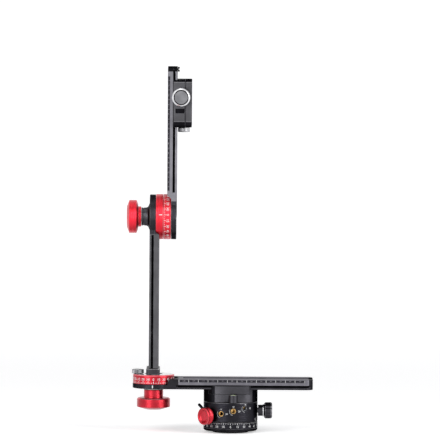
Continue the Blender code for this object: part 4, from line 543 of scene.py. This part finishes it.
def arc_shape(radius, start, end, width):
    """A flat bow of constant width about the origin, from one angle to another in degrees, a unit deep.

    Each step has four corners, at the inner and the outer radius along the angle's cosine and sine.
    """
    steps = ARC_STEPS
    angle = np.radians(np.linspace(start, end, steps))
    inner, outer = radius - width / 2, radius + width / 2
    ring = np.stack([np.cos(angle), np.sin(angle)], -1)
    rows = [np.hstack([ring * size, np.full((steps, 1), depth)])
            for size, depth in ((inner, -0.5), (outer, -0.5), (outer, 0.5), (inner, 0.5))]
    spots = np.stack(rows, 1).reshape(-1, 3)
    step, side = np.meshgrid(np.arange(steps - 1), np.arange(4), indexing="ij")
    beside = (side + 1) % 4
    quads = np.stack([step * 4 + side, step * 4 + beside,
                      (step + 1) * 4 + beside, (step + 1) * 4 + side], -1).reshape(-1, 4)
    last = (steps - 1) * 4
    ends = [(0, 1, 2, 3), (last + 3, last + 2, last + 1, last)]
    return spots, [tuple(quad) for quad in quads.tolist()] + ends


class Engraving:
    """Collects marks as closed slabs on a drum or on a flat face, then makes them one piece."""

    def __init__(self, turn, place, radius=None, thick=0.10, proud=0.03):
        self.turn, self.place, self.radius = turn, np.asarray(place, float), radius
        self.thick, self.proud = thick, proud
        self.spots, self.faces, self.count = [], [], 0

    def lay(self, shape, across, up, scale):
        """Place a shape whose own X runs across and Y up; on a drum, across is an angle in degrees.

        On a drum a point at distance x from the mark's middle turns by x over the radius.
        """
        spots, faces = shape
        local_x, local_y = spots[:, 0] * scale[0], spots[:, 1] * scale[1] + up
        depth = spots[:, 2] * self.thick + self.proud - self.thick / 2
        if self.radius is None:
            flat = np.stack([local_x + across, -depth, local_y], -1)
        else:
            angle = math.radians(across) + local_x / self.radius
            reach = self.radius + depth
            flat = np.stack([reach * np.sin(angle), -reach * np.cos(angle), local_y], -1)
        self.spots.append((flat @ self.turn.T + self.place) * MM)
        self.faces += [tuple(index + self.count for index in face) for face in faces]
        self.count += len(spots)

    def bar(self, across, low, width, height):
        """A plain bar, centred across and standing on its foot."""
        self.lay((BAR_SPOTS, BAR_FACES), across, low, (width, height))

    def line(self, across, span, width):
        """A line of a scale, from its foot to its head."""
        self.bar(across, span[0], width, span[1] - span[0])

    def number(self, text, across, low, height, squeeze=1.0):
        """A plain number, with its figures made narrower or wider by the squeeze."""
        self.lay(word_shape(text), across, low, (height * squeeze, height))

    def finish(self, name, body, paint=engraved):
        """All the marks as one piece on its body."""
        return placed(into_mesh(name, np.vstack(self.spots), self.faces, [paint]), body, ())


def degree_scale(marks, long_line, short_line, widths, foot, height, start=0):
    """Lines each 5 degrees round a drum, with a longer and wider line and a number each 15 degrees."""
    for degrees in range(0, 360, 5):
        labelled = degrees % 15 == 0
        span, width = (long_line, widths[0]) if labelled else (short_line, widths[1])
        marks.line(degrees + start, span, width)
        if labelled:
            squeeze = TWO_FIGURES_SQUEEZE if degrees < 100 else THREE_FIGURES_SQUEEZE
            marks.number(str(degrees), degrees + start, foot, height, squeeze)


def millimetre_scale(lines, figures, first, step, labels, spans, foot, height):
    """Lines each 10 mm and each 1 mm along a bar, and a number between the long ones.

    Step is 1 or -1, for the way in which the marks run. Spans holds the foot and head of a long line, of the
    line at 5 mm and of a short line.
    """
    long_line, half_line, short_line = spans
    for number in range(len(labels) + 1):
        spot = first + 10 * number * step
        lines.line(spot, long_line, RAIL_LINE)
        if number < len(labels):
            figures.number(labels[number], spot + 5 * step, foot, height, RAIL_FIGURES_SQUEEZE)
            for small in range(1, 10):
                span = half_line if small == 5 else short_line
                figures.line(spot + small * step, span, RAIL_FINE_LINE)


# Pan base

def dress_base():
    drum = softened([(24, 4.6), (PAN_RADIUS, 4.6), (PAN_RADIUS, 11.3), (24, 11.3)], [0, 0.35, 0.35, 0])
    turned_piece("degree_drum", "base", drum, [black_turned, soft_edge], stands_for=["degree_ring"],
                 closed=True, worn=within(27.85, 27.99))
    marks = Engraving(ALONG_Z, (0, 0, 0), PAN_RADIUS)
    degree_scale(marks, (9.2, 11.0), (9.9, 11.0), (0.42, 0.34), 6.3, 2.3)
    marks.finish("degree_marks", "base")
    # Painted shade: the base plate under the drum is painted the darkest black.
    own_copy("base_plate", "tripod_plate", "base", painted_shade_and_print_black, soft_edge, edge=0.3, smooth=35)
    insert = np.vstack([[[7.5, 8.6], [7.5, 0.3], [7.2, 0.0]], threaded(5.15, 0.0, 8.6, 1.27, 0.35)])
    turned_piece("thread_insert", "base", insert, [steel_dark], stands_for=["tripod_bushing"],
                 closed=True, sides=64)
    painted(steel_dark, "base_screw_1", "base_screw_2", "base_screw_3")
    painted(steel, "spindle", "retaining_nut")
    painted(plastic, "glide_ring", "thrust_bearing")
    painted(brass, "detent_ring_1", "detent_ring_2", "detent_ring_3", "detent_ring_4")


def bore(radius, start, end):
    """A plain rod from one height to another, which cuts a round hole."""
    return [(0, start), (radius, start), (radius, end), (0, end)]


def dress_housing():
    shell = softened([
        (7.3, 28.0), (23.5, 28.0), (23.5, 14.2), (26.05, 14.2), (26.05, 11.9), (PAN_RADIUS, 11.9),
        (PAN_RADIUS, 32.0), (11.0, 32.0), (11.0, 29.9), (7.3, 29.9),
    ], [0, 0, 0, 0, 0, 0.4, 0.5, 0, 0, 0])
    housing = turned_piece("pan_housing", "pan", shell, [black_turned, soft_edge],
                           stands_for=["rotator_housing"], closed=True, sides=144,
                           worn=within(27.8, 27.985))
    bores = [(PLUNGER_ANGLE, PLUNGER_HEIGHT)] + [hole[:2] for hole in INDEX_HOLES]
    cutters = [turned_surface(bore(2.7, 21.5, 31), leaning(angle), (0, 0, height), 40)
               for angle, height in bores]
    cutters.append(turned_surface(bore(2.9, 21.5, 31), leaning(LOCK_ANGLE), LOCK_PLACE, 40))
    for angle in (60, 180, 300):
        spot = (14.6 * math.cos(math.radians(angle)), 14.6 * math.sin(math.radians(angle)), 0)
        cutters.append(turned_surface(bore(1.7, 26, 34), ALONG_Z, spot, 24))
    cut_by(housing, cutters)
    thread = threaded(2.35, 23.9, 27.2, 0.5, 0.16)
    sleeve = np.vstack([[[2.66, 27.2], [2.66, 23.9]], thread])
    marks = Engraving(ALONG_Z, (0, 0, 0), PAN_RADIUS)
    for number, (angle, height, stops) in enumerate(INDEX_HOLES, 1):
        paint, slot = (brass, "brass") if number < 3 else (steel_dark, "dark_steel")
        turned_piece(f"hole_sleeve_{number}", "pan", sleeve, [paint], leaning(angle), (0, 0, height),
                     sides=48, closed=True)
        marks.number(str(stops), angle, min(height + 3.8, 29.6), 1.6)
        marks.number(str(360 // stops), angle + 12.5, height - 1.0, 1.9)
        marks.lay(arc_shape(4.1, 150, 258, 0.22), angle, height, (1, 1))
    marks.line(66, (12.6, 15.6), 0.7)
    marks.finish("housing_marks", "pan")
    painted(steel_dark, "clamp_base_screw_1", "clamp_base_screw_2", "clamp_base_screw_3")


def dress_plunger():
    turn, place = leaning(PLUNGER_ANGLE), (0, 0, PLUNGER_HEIGHT)
    barrel = softened([
        (1.3, 23.8), (2.4, 23.8), (2.4, 28.3), (5.6, 28.3), (5.6, 30.9), (3.2, 30.9), (3.2, 33.1),
        (1.3, 33.1), (1.3, 32.3), (2.0, 32.3), (2.0, 24.6), (1.3, 24.6),
    ], [0, 0, 0, 0.4, 0.4, 0, 0.2, 0, 0, 0, 0, 0])
    turned_piece("plunger_seat", "pan", barrel, [steel_dark], turn, place, ["plunger_barrel"],
                 sides=72, closed=True)
    knob = softened([
        (0, 35.9), (1.3, 35.9), (1.3, 33.4), (3.5, 33.4), (3.5, 31.2), (8.8, 31.2), (8.8, 32.9), (6.6, 34.5),
        (8.8, 36.5), (8.8, 38.0), (8.1, 38.5), (7.0, 38.4), (5.2, 36.5), (0, 36.4),
    ], [0, 0, 0, 0, 0, 0.5, 0.6, 1.4, 0.9, 0.5, 0.5, 0.5, 1.0, 0], 6)
    turned_piece("plunger_spool", "detent_plunger", knob, [red_plain, red_edge], turn, place,
                 ["plunger_knob"], sides=96, worn=within(8.62, 8.79, 37))
    bar_angle = math.radians(146)
    along = turn @ np.array([math.cos(bar_angle), math.sin(bar_angle), 0.0])
    bar_turn = np.stack([turn[:, 2], np.cross(along, turn[:, 2]), along], -1)
    bar = softened([(0, 3.6), (0.7, 3.6), (0.7, 9.1), (1.5, 9.1), (1.5, 19.3), (0.9, 20.0), (0, 20.0)],
                   [0, 0, 0, 0.3, 0.3, 0.3, 0])
    middle = np.array(place, float) + turn @ np.array([0, 0, 29.6])
    turned_piece("tommy_bar", "pan", bar, [black], bar_turn, middle, ["plunger_tommy_bar"],
                 sides=40)
    painted(steel, "plunger_pin", "plunger_spring")


def lobes(radius, height, angle):
    """Eight round lobes on the head's rim: its radius dips most half-way between them."""
    deep = 0.75 * (1 - np.abs(np.cos(4 * angle))) ** 1.5
    return np.where((height > 35) & (radius > 7.0), -deep, 0.0)


def dress_pan_lock():
    turn = leaning(LOCK_ANGLE)
    head = softened([
        (0, 38.2), (2.9, 38.2), (2.9, 28.5), (5.8, 28.5), (5.8, 34.9), (7.3, 34.9), (8.4, 36.0), (8.4, 42.1),
        (7.4, 43.1), (5.6, 43.1), (5.1, 42.6), (0, 42.6),
    ], [0, 0, 0, 0.3, 0.6, 0.3, 0.5, 0.5, 0.4, 0.3, 0.3, 0])
    turned_piece("lobed_knob", "pan_lock", head, [clamp_black, worn_edge], turn, LOCK_PLACE,
                 ["pan_lock_knob"], relief=lobes, worn=within(7.9, 8.36, 35))
    flange = softened([(5.84, 33.4), (6.7, 33.4), (6.7, 34.4), (5.84, 34.4)], [0, 0.2, 0.2, 0])
    turned_piece("lock_flange", "pan_lock", flange, [steel], turn, LOCK_PLACE, sides=72,
                 closed=True)
    painted(steel_dark, "pan_lock_screw")
    painted(plastic, "pan_brake_pad")


def dress_rail_clamp():
    left, right, face = -16.4, 22.4, -14
    # Painted shade: the clamp's sides and back are painted dark, and its front stays paler.
    def seat_sides(x, y, z):
        return (x < left) | (x > right) | (y > face)
    for node, name, body in (("rail_clamp_base", "clamp_seat", "pan"),
                             ("rail_clamp_jaw", "clamp_jaw", "rail_jaw")):
        piece = own_copy(node, name, body, jaw_satin, soft_edge)
        zoned(piece, [(0, left), (0, right)], seat_sides, painted_shade_and_print_black)
    cup = softened([(0, 32.4), (4.65, 32.4), (4.65, 40.4), (3.65, 40.4), (3.65, 37.4), (0, 37.4)],
                   [0, 0.2, 0.35, 0.25, 0, 0])
    turned_piece("level_cup", "pan", cup, [clamp_black, worn_edge], ALONG_Z, LEVEL_PLACE,
                 ["level_housing"], sides=72, worn=within(4.4, 4.6, 40))
    vial = softened([(0, 37.7), (3.35, 37.7), (3.35, 39.8), (2.5, 40.35), (0, 40.5)], [0, 0.1, 0.5, 0.6, 0])
    turned_piece("level_glass", "pan", vial, [vial_green], ALONG_Z, LEVEL_PLACE, ["level_vial"],
                 sides=64)
    bubble = softened([(0, 40.4), (0.95, 40.4), (0.85, 40.55), (0, 40.6)], [0, 0.05, 0.1, 0])
    turned_piece("level_bubble", "pan", bubble, [engraved], ALONG_Z, LEVEL_PLACE, sides=32)
    circle = [(1.45, 40.3), (1.6, 40.3), (1.6, 40.5), (1.45, 40.51)]
    turned_piece("level_circle", "pan", circle, [painted_shade_and_print_black], ALONG_Z, LEVEL_PLACE,
                 sides=48, closed=True)
    grip = softened([
        (0, 35.5), (2.3, 35.5), (2.3, 28.3), (5.2, 28.3), (5.2, 31.0), (8.5, 31.0), (9.4, 31.9), (9.4, 38.9),
        (7.7, 40.6), (7.35, 40.7), (7.1, 39.95), (6.6, 39.95), (6.5, 40.25), (0, 40.25),
    ], [0, 0, 0, 0.2, 0.4, 0.3, 0.5, 0.5, 0.2, 0.2, 0.15, 0.1, 0.1, 0])
    turned_piece("rear_grip", "rail_grip", grip, [black, worn_edge], TO_BACK, (-7.5, 0, 37.6),
                 ["rail_clamp_knob"], sides=KNURLED_SIDES,
                 relief=knurl(64, 0.35, 32.2, 38.6), worn=within(7.4, math.inf, 38.8))
    painted(steel, "rail_clamp_screw", "jaw_guide_pin_1", "jaw_guide_pin_2")


# Lower rail and swing joint

def lower_rail_zones(x, y, z):
    """The right end and the top beside the scale; painted shade on the groove, the foot below it and the
    pivot's disc.
    """
    ends = (x > 80.8) | ((x < -54.1) & (z > 49.75))
    groove = (x > -56.5) & (z < 49.75) & (z > 47.15)
    foot = (x > -56.5) & (z < 47.15)
    disc = (x < -56.5) & (z < 50.0)
    return np.select([ends, groove, foot, disc], [4, 1, 2, 3], 0)


def dress_lower_rail():
    bar = own_copy("lower_rail", "lower_bar", "rail", rail_lower, worn_edge, **BAR_EDGES)
    # Painted shade: the groove and the foot below it painted dark, and the pivot's disc painted darker than
    # the bar.
    zoned(bar, [(2, 49.75), (2, 47.15), (0, -56.5), (0, -54.1), (0, 80.8)], lower_rail_zones,
          painted_shade_and_print_black, clamp_black, disc_shade_lying, black)
    low = 52.6
    spans = ((low, 55.2), (low, 53.4), (low, 53.1))
    labels = [str(130 - 10 * number) for number in range(13)]
    for side, turn, sign in (("front", ALONG_Z, 1), ("rear", np.diag([-1.0, -1.0, 1.0]), -1)):
        place = turn @ np.array([0, -RAIL_HALF_WIDTH, 0])
        ground = Engraving(turn, place, None, PRINT_THICK, GROUND_PROUD)
        ground.bar(11.5 * sign, low, 131.0, 2.6)
        ground.finish(f"scale_ground_{side}", "rail", scale_ground)
        lines = Engraving(turn, place, None, PRINT_THICK, LINES_PROUD)
        figures = Engraving(turn, place, None, PRINT_THICK, FIGURES_PROUD)
        millimetre_scale(lines, figures, -53.5 * sign, sign, labels, spans, 53.7, 1.25)
        lines.finish(f"scale_lines_{side}", "rail")
        figures.finish(f"scale_figures_{side}", "rail", engraved_fine)
    index = Engraving(ALONG_Z, SWING_PLACE, 21.7)
    index.line(-2.5, (46.3, 49.3), 1.0)
    index.finish("swing_index", "rail")


def swing_drum_wear(radius, height):
    """The dial's bright top face and its worn upper corner."""
    top = (height > 59.7) & (radius < 20.5)
    corner = (radius > 20.6) & (radius < 21.45) & (height > 58.8)
    return np.select([top, corner], [2, 1], 0)


def dress_swing_joint():
    dial = softened([
        (5.3, 50.2), (SWING_RADIUS, 50.2), (SWING_RADIUS, 58.8), (20.5, 59.8), (9.3, 59.8), (9.3, 54.7),
        (5.3, 54.7),
    ], [0, 0.4, 0.5, 0.4, 0, 0, 0])
    drum = turned_piece("swing_drum", "arm", dial, [red_z, red_edge, steel], ALONG_Z, SWING_PLACE,
                        ["swing_dial"], closed=True, worn=swing_drum_wear)
    channel = [(0, 48), (2.4, 48), (2.4, 57.4), (1.5, 57.4), (1.5, 62), (0, 62)]
    cutters = [turned_surface(channel, ALONG_Z, DETENT_PLACE, 32)]
    cutters += [turned_surface(bore(2.9, 50.5, 62), ALONG_Z, (SWING_PLACE[0], side * 12.5, 0), 32)
                for side in (-1, 1)]
    cut_by(drum, cutters)
    marks = Engraving(ALONG_Z, SWING_PLACE, SWING_RADIUS)
    degree_scale(marks, (50.9, 53.3), (50.9, 52.2), (0.5, 0.32), 54.1, 2.7)
    marks.finish("swing_marks", "arm")
    neck = softened([
        (0, 33.7), (5.3, 33.7), (5.3, 43.4), (10, 43.4), (10, 35.1), (16.0, 35.1), (17.3, 33.9),
    ], [0, 0, 0, 0.4, 0.5, 0.5, 0])
    face = softened([(17.3, 26.0), (17.2, 25.6), (9.0, 23.0), (8.4, 23.35), (0, 23.35)],
                    [0, 0.3, 0.5, 0.2, 0])
    head = np.vstack([neck, ribbed(17.3, 33.3, 26.3, 6, 0.14), face])
    turned_piece("swing_knob", "swing_lock", head, [red_z, red_edge], ALONG_Z, SWING_PLACE,
                 ["swing_lock_knob"], worn=within(16.2, math.inf, 33.95, 35.05))
    washer = softened([(5.3, 43.7), (10, 43.7), (10, 44.9), (5.3, 44.9)], [0, 0.2, 0.2, 0])
    turned_piece("swing_shim", "swing_lock", washer, [plastic], ALONG_Z, SWING_PLACE, ["swing_washer"],
                 sides=72, closed=True)
    knob = softened([
        (0, 62.8), (1.5, 62.8), (1.5, 60.1), (5.6, 60.1), (6.2, 60.6), (6.2, 64.0), (5.6, 64.5), (3.2, 64.5),
        (2.9, 64.2), (0, 64.2),
    ], [0, 0, 0, 0.2, 0.2, 0.2, 0.2, 0.2, 0.1, 0])
    turned_piece("detent_knob", "swing_detent", knob, [steel_satin], ALONG_Z, DETENT_PLACE,
                 ["swing_detent_knob"], sides=KNURLED_SIDES,
                 relief=knurl(36, 0.42, 60.65, 63.95))
    painted(steel, "swing_detent_pin", "swing_detent_spring")
    own_copy("arm_foot", "arm_shoe", "arm", clamp_black, worn_edge, edge=0.3)
    painted(steel_dark, "swing_bolt", "arm_foot_screw_1", "arm_foot_screw_2")


# Lower arm and tilt joint

def dress_lower_arm():
    bar = own_copy("lower_arm", "upright_bar", "arm", rail_upright, worn_edge, **BAR_EDGES)
    foot, disc = 67, 206.0
    # Painted shade: the side groove painted dark, and the disc at the tilt joint painted darker than the bar.
    def arm_zones(x, y, z):
        groove = (np.abs(y) < SIDE_GROOVE_REACH) & (np.abs(x - SWING_PLACE[0]) < SIDE_GROOVE_HALF_WIDTH)
        return np.select([groove & (z < disc) & (z > foot), z > disc], [1, 2], 0)
    zoned(bar, [(2, disc)], arm_zones, painted_shade_and_print_black, disc_shade_upright)


def dress_tilt_joint():
    hub = softened([
        (7.8, -93.5), (9.4, -93.5), (9.4, -92.0), (9.0, -91.7), (9.0, -91.1), (9.4, -90.8), (9.4, -88.2),
        (10.6, -86.6), (14.0, -85.3), (7.8, -85.3),
    ], [0, 0.4, 0.15, 0.1, 0.1, 0.15, 0.8, 1.0, 0.2, 0])
    turned_piece("tilt_boss", "arm", hub, [black_boss, worn_edge], ALONG_X, TILT_PLACE, ["tilt_hub"],
                 closed=True, worn=within(9.02, 9.38, -math.inf, -90.7))
    ring = softened([
        (7.8, -78.5), (TILT_RADIUS, -78.5), (TILT_RADIUS, -71.2), (18.3, -71.2), (18.3, -72.6), (7.8, -72.6),
    ], [0, 0.5, 0.5, 0, 0, 0])
    turned_piece("index_drum", "arm", ring, [red_x, red_edge], ALONG_X, TILT_PLACE, ["tilt_index_ring"],
                 closed=True, worn=within(23.2, 23.47))
    pointer = Engraving(ALONG_X, TILT_PLACE, TILT_RADIUS)
    pointer.line(TILT_SCALE_START, (-75.2, -72.0), 0.9)
    pointer.finish("tilt_pointer", "arm")
    dial = softened([(5.3, -70.9), (TILT_RADIUS, -70.9), (TILT_RADIUS, -63.1), (5.3, -63.1)],
                    [0, 0.5, 0.5, 0])
    turned_piece("tilt_drum", "tilt", dial, [red_x, red_edge], ALONG_X, TILT_PLACE, ["tilt_dial"],
                 closed=True, worn=within(23.2, 23.47))
    marks = Engraving(ALONG_X, TILT_PLACE, TILT_RADIUS)
    degree_scale(marks, (-70.3, -68.3), (-70.3, -69.2), (0.5, 0.32), -67.5, 2.8, TILT_SCALE_START)
    marks.finish("tilt_marks", "tilt")
    neck = softened([
        (0, -104.3), (5.3, -104.3), (5.3, -93.8), (10.6, -93.8), (10.6, -97.0), (12.9, -97.0),
        (17.2, -98.7), (17.2, -99.2),
    ], [0, 0, 0, 0.4, 0.3, 0.4, 0.3, 0])
    face = softened([(17.2, -105.9), (17.2, -106.2), (11.0, -108.7), (10.4, -108.4), (0, -108.4)],
                    [0, 0.3, 0.5, 0.2, 0])
    knob = np.vstack([neck, ribbed(17.2, -99.5, -105.6, 5, 0.12), face])
    turned_piece("tilt_knob", "tilt_lock", knob, [red_x, red_edge], ALONG_X, TILT_PLACE,
                 ["tilt_lock_knob"], worn=within(0, 10.7, -97.0, -96.6))
    painted(brass, "tilt_bushing")
    painted(steel, "tilt_shaft")
    painted(plastic, "tilt_friction_washer")


# Upper rail and plate clamp

def dress_upper_rail():
    bar = own_copy("upper_rail", "top_bar", "tilt", rail_upper, worn_edge, **BAR_EDGES)
    middle, disc, groove_foot, top = -62.1, 240.0, 248, 374.0
    # Painted shade: the side groove and the top painted dark, and the disc at the tilt joint painted darker
    # than the bar.
    def bar_zones(x, y, z):
        groove = (np.abs(y) < SIDE_GROOVE_REACH) & (np.abs(x - middle) < SIDE_GROOVE_HALF_WIDTH)
        return np.select([(groove & (z > groove_foot)) | (z > top), z < disc], [1, 2], 0)
    zoned(bar, [(2, top), (2, disc)], bar_zones, painted_shade_and_print_black, disc_shade_upright)
    rear = np.array([[0.0, 0.0, -1.0], [0.0, -1.0, 0.0], [-1.0, 0.0, 0.0]])
    labels = [str(10 * number) for number in range(1, 12)]
    for side, turn, sign, low in (("front", ALONG_X, 1, -66.8), ("rear", rear, -1, 64.6)):
        place = np.array([0, -RAIL_HALF_WIDTH * sign, 0])
        ground = Engraving(turn, place, None, PRINT_THICK, GROUND_PROUD)
        ground.bar(-310.0, low, 118.0, 2.2)
        ground.finish(f"upright_ground_{side}", "tilt", scale_ground)
        figures = Engraving(turn, place, None, PRINT_THICK, FIGURES_PROUD)
        high = low + 2.2
        spans = ((low, high), (low + 1.4, high), (low + 1.7, high))
        millimetre_scale(figures, figures, -255, -1, labels, spans, low + 0.2, 1.1)
        figures.finish(f"upright_figures_{side}", "tilt", engraved_fine)
    painted(black, "rail_stop_screw")


def clamp_zones(x, y, z):
    """Painted shade: the clamp's rounded ends, its slots and the split before its jaw painted dark, and a
    bright line beside each end.
    """
    ends = (z > 363.4) | (z < 322.4)
    lines = (z > 363.0) | (z < 322.8)
    pocket = (np.abs(z - 333.6) < 2.45) & (x > -59.3) & (x < -49.4) & (np.abs(y) < 24.9) & (np.abs(y) > 22.0)
    split = (np.abs(x + 48.85) < 0.61) & (y < -24)
    return np.select([ends | pocket | split, lines], [1, 2], 0)


def plate_grip_wear(radius, height):
    """The knob's dull inner face, and painted shade on the ring turned round it."""
    front = height > 33.8
    return np.select([front & (radius < 6.9), front & (radius < 7.88)], [1, 2], 0)


def dress_plate_clamp():
    cuts = [(2, 363.4), (2, 363.0), (2, 322.4), (2, 322.8), (0, -49.45), (0, -48.25)]
    for node, name, body in (("clamp_carriage", "carriage_body", "carriage"),
                             ("plate_jaw", "carriage_jaw", "plate_jaw")):
        piece = own_copy(node, name, body, clamp_grey, soft_edge)
        zoned(piece, cuts, clamp_zones, painted_shade_and_print_black, edge_line)
    grip = softened([
        (0, 30.1), (1.8, 30.1), (1.8, 22.9), (5.2, 22.9), (5.2, 25.6), (8.5, 25.6), (9.4, 26.5), (9.4, 33.7),
        (8.4, 35.0), (7.9, 35.3), (7.75, 34.4), (6.95, 34.4), (6.75, 34.95), (0, 34.95),
    ], [0, 0, 0, 0.2, 0.4, 0.3, 0.5, 0.4, 0.3, 0.15, 0.15, 0.15, 0.15, 0])
    turned_piece("plate_grip", "plate_knob", grip, [steel, steel_face, painted_shade_and_print_black], TO_FRONT,
                 (-53.1, 0, 347.9), ["plate_clamp_knob"], sides=KNURLED_SIDES,
                 relief=knurl(64, 0.35, 26.8, 33.4), worn=plate_grip_wear)
    screw = softened([
        (0, 310.9), (5.7, 310.9), (6.2, 311.4), (6.2, 315.1), (5.7, 315.6), (1.9, 315.6), (1.9, 316.2),
        (1.0, 316.2), (1.0, 324.0), (0, 324.0),
    ], [0, 0.2, 0.2, 0.2, 0.2, 0.1, 0, 0, 0, 0])
    turned_piece("thumb_knob", "thumbscrew", screw, [steel_satin], ALONG_Z, (-50.3, 0, 0),
                 ["carriage_thumbscrew"], sides=KNURLED_SIDES,
                 relief=knurl(36, 0.42, 311.5, 315.0))
    painted(steel, "plate_clamp_screw")


# Light, floor and view, in metres

WORLD_LEVEL = 0.30
WORLD_COLOUR = (0.96, 0.97, 1.0, 1)
FLOOR_COLOUR = (0.86, 0.86, 0.86, 1)
FLOOR_REACH = 40.0
LIFT_FROM, LIFT_TO = 0.35, 2.0
LIFT_NEAR, LIFT_FAR = 0.43, 0.80

# Each soft box's name, place, aim, width, height and power

SOFT_BOXES = (
    ("left_box", (-0.76, -1.05, 0.72), (0, 0, 0.72), 0.74, 1.42, 15),
    ("right_box", (1.08, -0.73, 0.72), (0, 0, 0.72), 0.78, 1.42, 16),
    ("top_box", (-0.1, -0.1, 1.6), (0, 0, 0), 0.9, 0.7, 2.5),
)

VIEW_DISTANCE = 6.0
VIEW_FOCAL = 474.0
VIEW_SENSOR = 36.0
VIEW_FAR = 200.0
VIEW_DROP = 3.5
VIEW_ROLL = 0.4
VIEW_TARGET = (-0.0123, 0.0, 0.2199)


def where_seen(nodes, links):
    """One for rays that are seen straight, in gloss or through glass, and nought for light on the object."""
    path = nodes.new("ShaderNodeLightPath")
    either, seen = nodes.new("ShaderNodeMath"), nodes.new("ShaderNodeMath")
    either.operation = seen.operation = "MAXIMUM"
    links.new(path.outputs["Is Camera Ray"], either.inputs[0])
    links.new(path.outputs["Is Glossy Ray"], either.inputs[1])
    links.new(either.outputs[0], seen.inputs[0])
    links.new(path.outputs["Is Transmission Ray"], seen.inputs[1])
    return seen.outputs[0]


def light_world():
    """A plain pale world that lights the object dimly and is seen as white."""
    world = bpy.data.worlds.new("studio")
    bpy.context.scene.world = world
    world.use_nodes = True
    nodes, links = world.node_tree.nodes, world.node_tree.links
    dim, white, mix = nodes["Background"], nodes.new("ShaderNodeBackground"), nodes.new("ShaderNodeMixShader")
    dim.inputs["Color"].default_value = WORLD_COLOUR
    dim.inputs["Strength"].default_value = WORLD_LEVEL
    white.inputs["Color"].default_value = (1, 1, 1, 1)
    white.inputs["Strength"].default_value = 1.0
    links.new(where_seen(nodes, links), mix.inputs["Fac"])
    links.new(dim.outputs[0], mix.inputs[1])
    links.new(white.outputs[0], mix.inputs[2])
    links.new(mix.outputs[0], nodes["World Output"].inputs["Surface"])


def lay_floor():
    """A wide pale sheet: its own shade keeps the shadow, and a lift brings open floor up to white.

    The lift grows smoothly with the distance from the pan axis.
    """
    mesh = bpy.data.meshes.new("studio_floor")
    reach = FLOOR_REACH
    mesh.from_pydata([(-reach, -reach, 0), (reach, -reach, 0), (reach, reach, 0), (-reach, reach, 0)], [],
                     [(0, 1, 2, 3)])
    floor = bpy.data.objects.new("studio_floor", mesh)
    bpy.context.scene.collection.objects.link(floor)
    made, nodes, links, shader = new_finish("pale_floor")
    shader.inputs["Base Color"].default_value = FLOOR_COLOUR
    shader.inputs["Roughness"].default_value = 0.8
    shader.inputs["Specular IOR Level"].default_value = 0.1
    glow, add = nodes.new("ShaderNodeEmission"), nodes.new("ShaderNodeAddShader")
    level, spread = nodes.new("ShaderNodeMath"), nodes.new("ShaderNodeMapRange")
    spot, distance = nodes.new("ShaderNodeTexCoord"), nodes.new("ShaderNodeVectorMath")
    level.operation = "MULTIPLY"
    distance.operation = "LENGTH"
    spread.interpolation_type = "SMOOTHSTEP"
    spread.inputs["From Min"].default_value, spread.inputs["From Max"].default_value = LIFT_FROM, LIFT_TO
    spread.inputs["To Min"].default_value, spread.inputs["To Max"].default_value = LIFT_NEAR, LIFT_FAR
    links.new(spot.outputs["Object"], distance.inputs[0])
    links.new(distance.outputs["Value"], spread.inputs["Value"])
    links.new(spread.outputs["Result"], level.inputs[1])
    links.new(where_seen(nodes, links), level.inputs[0])
    links.new(level.outputs[0], glow.inputs["Strength"])
    links.new(shader.outputs[0], add.inputs[0])
    links.new(glow.outputs[0], add.inputs[1])
    links.new(add.outputs[0], nodes["Material Output"].inputs["Surface"])
    mesh.materials.append(made)


def soft_box(name, spot, aim, width, height, power):
    """A rectangular lamp that faces its aim."""
    lamp = bpy.data.lights.new(name, "AREA")
    lamp.shape = "RECTANGLE"
    lamp.size, lamp.size_y, lamp.energy = width, height, power
    holder = bpy.data.objects.new(name, lamp)
    holder.location = spot
    holder.rotation_euler = (Vector(aim) - Vector(spot)).to_track_quat("-Z", "Y").to_euler()
    bpy.context.scene.collection.objects.link(holder)


def place_camera():
    """The view looks along +Y and down by the drop, leans by the roll, and has the target at its middle."""
    data = bpy.data.cameras.new("photo_view")
    data.lens = VIEW_FOCAL
    data.sensor_width = VIEW_SENSOR
    data.clip_end = VIEW_FAR
    camera = bpy.data.objects.new("photo_view", data)
    drop = math.radians(VIEW_DROP)
    look = Vector((0, math.cos(drop), -math.sin(drop)))
    camera.location = Vector(VIEW_TARGET) - look * VIEW_DISTANCE
    roll = Matrix.Rotation(math.radians(VIEW_ROLL), 3, "Z")
    camera.rotation_euler = (look.to_track_quat("-Z", "Y").to_matrix() @ roll).to_euler()
    bpy.context.scene.collection.objects.link(camera)
    bpy.context.scene.camera = camera


dress_base()
dress_housing()
dress_plunger()
dress_pan_lock()
dress_rail_clamp()
dress_lower_rail()
dress_swing_joint()
dress_lower_arm()
dress_tilt_joint()
dress_upper_rail()
dress_plate_clamp()
bpy.context.scene.view_settings.view_transform = "Standard"
light_world()
lay_floor()
for box in SOFT_BOXES:
    soft_box(*box)
place_camera()
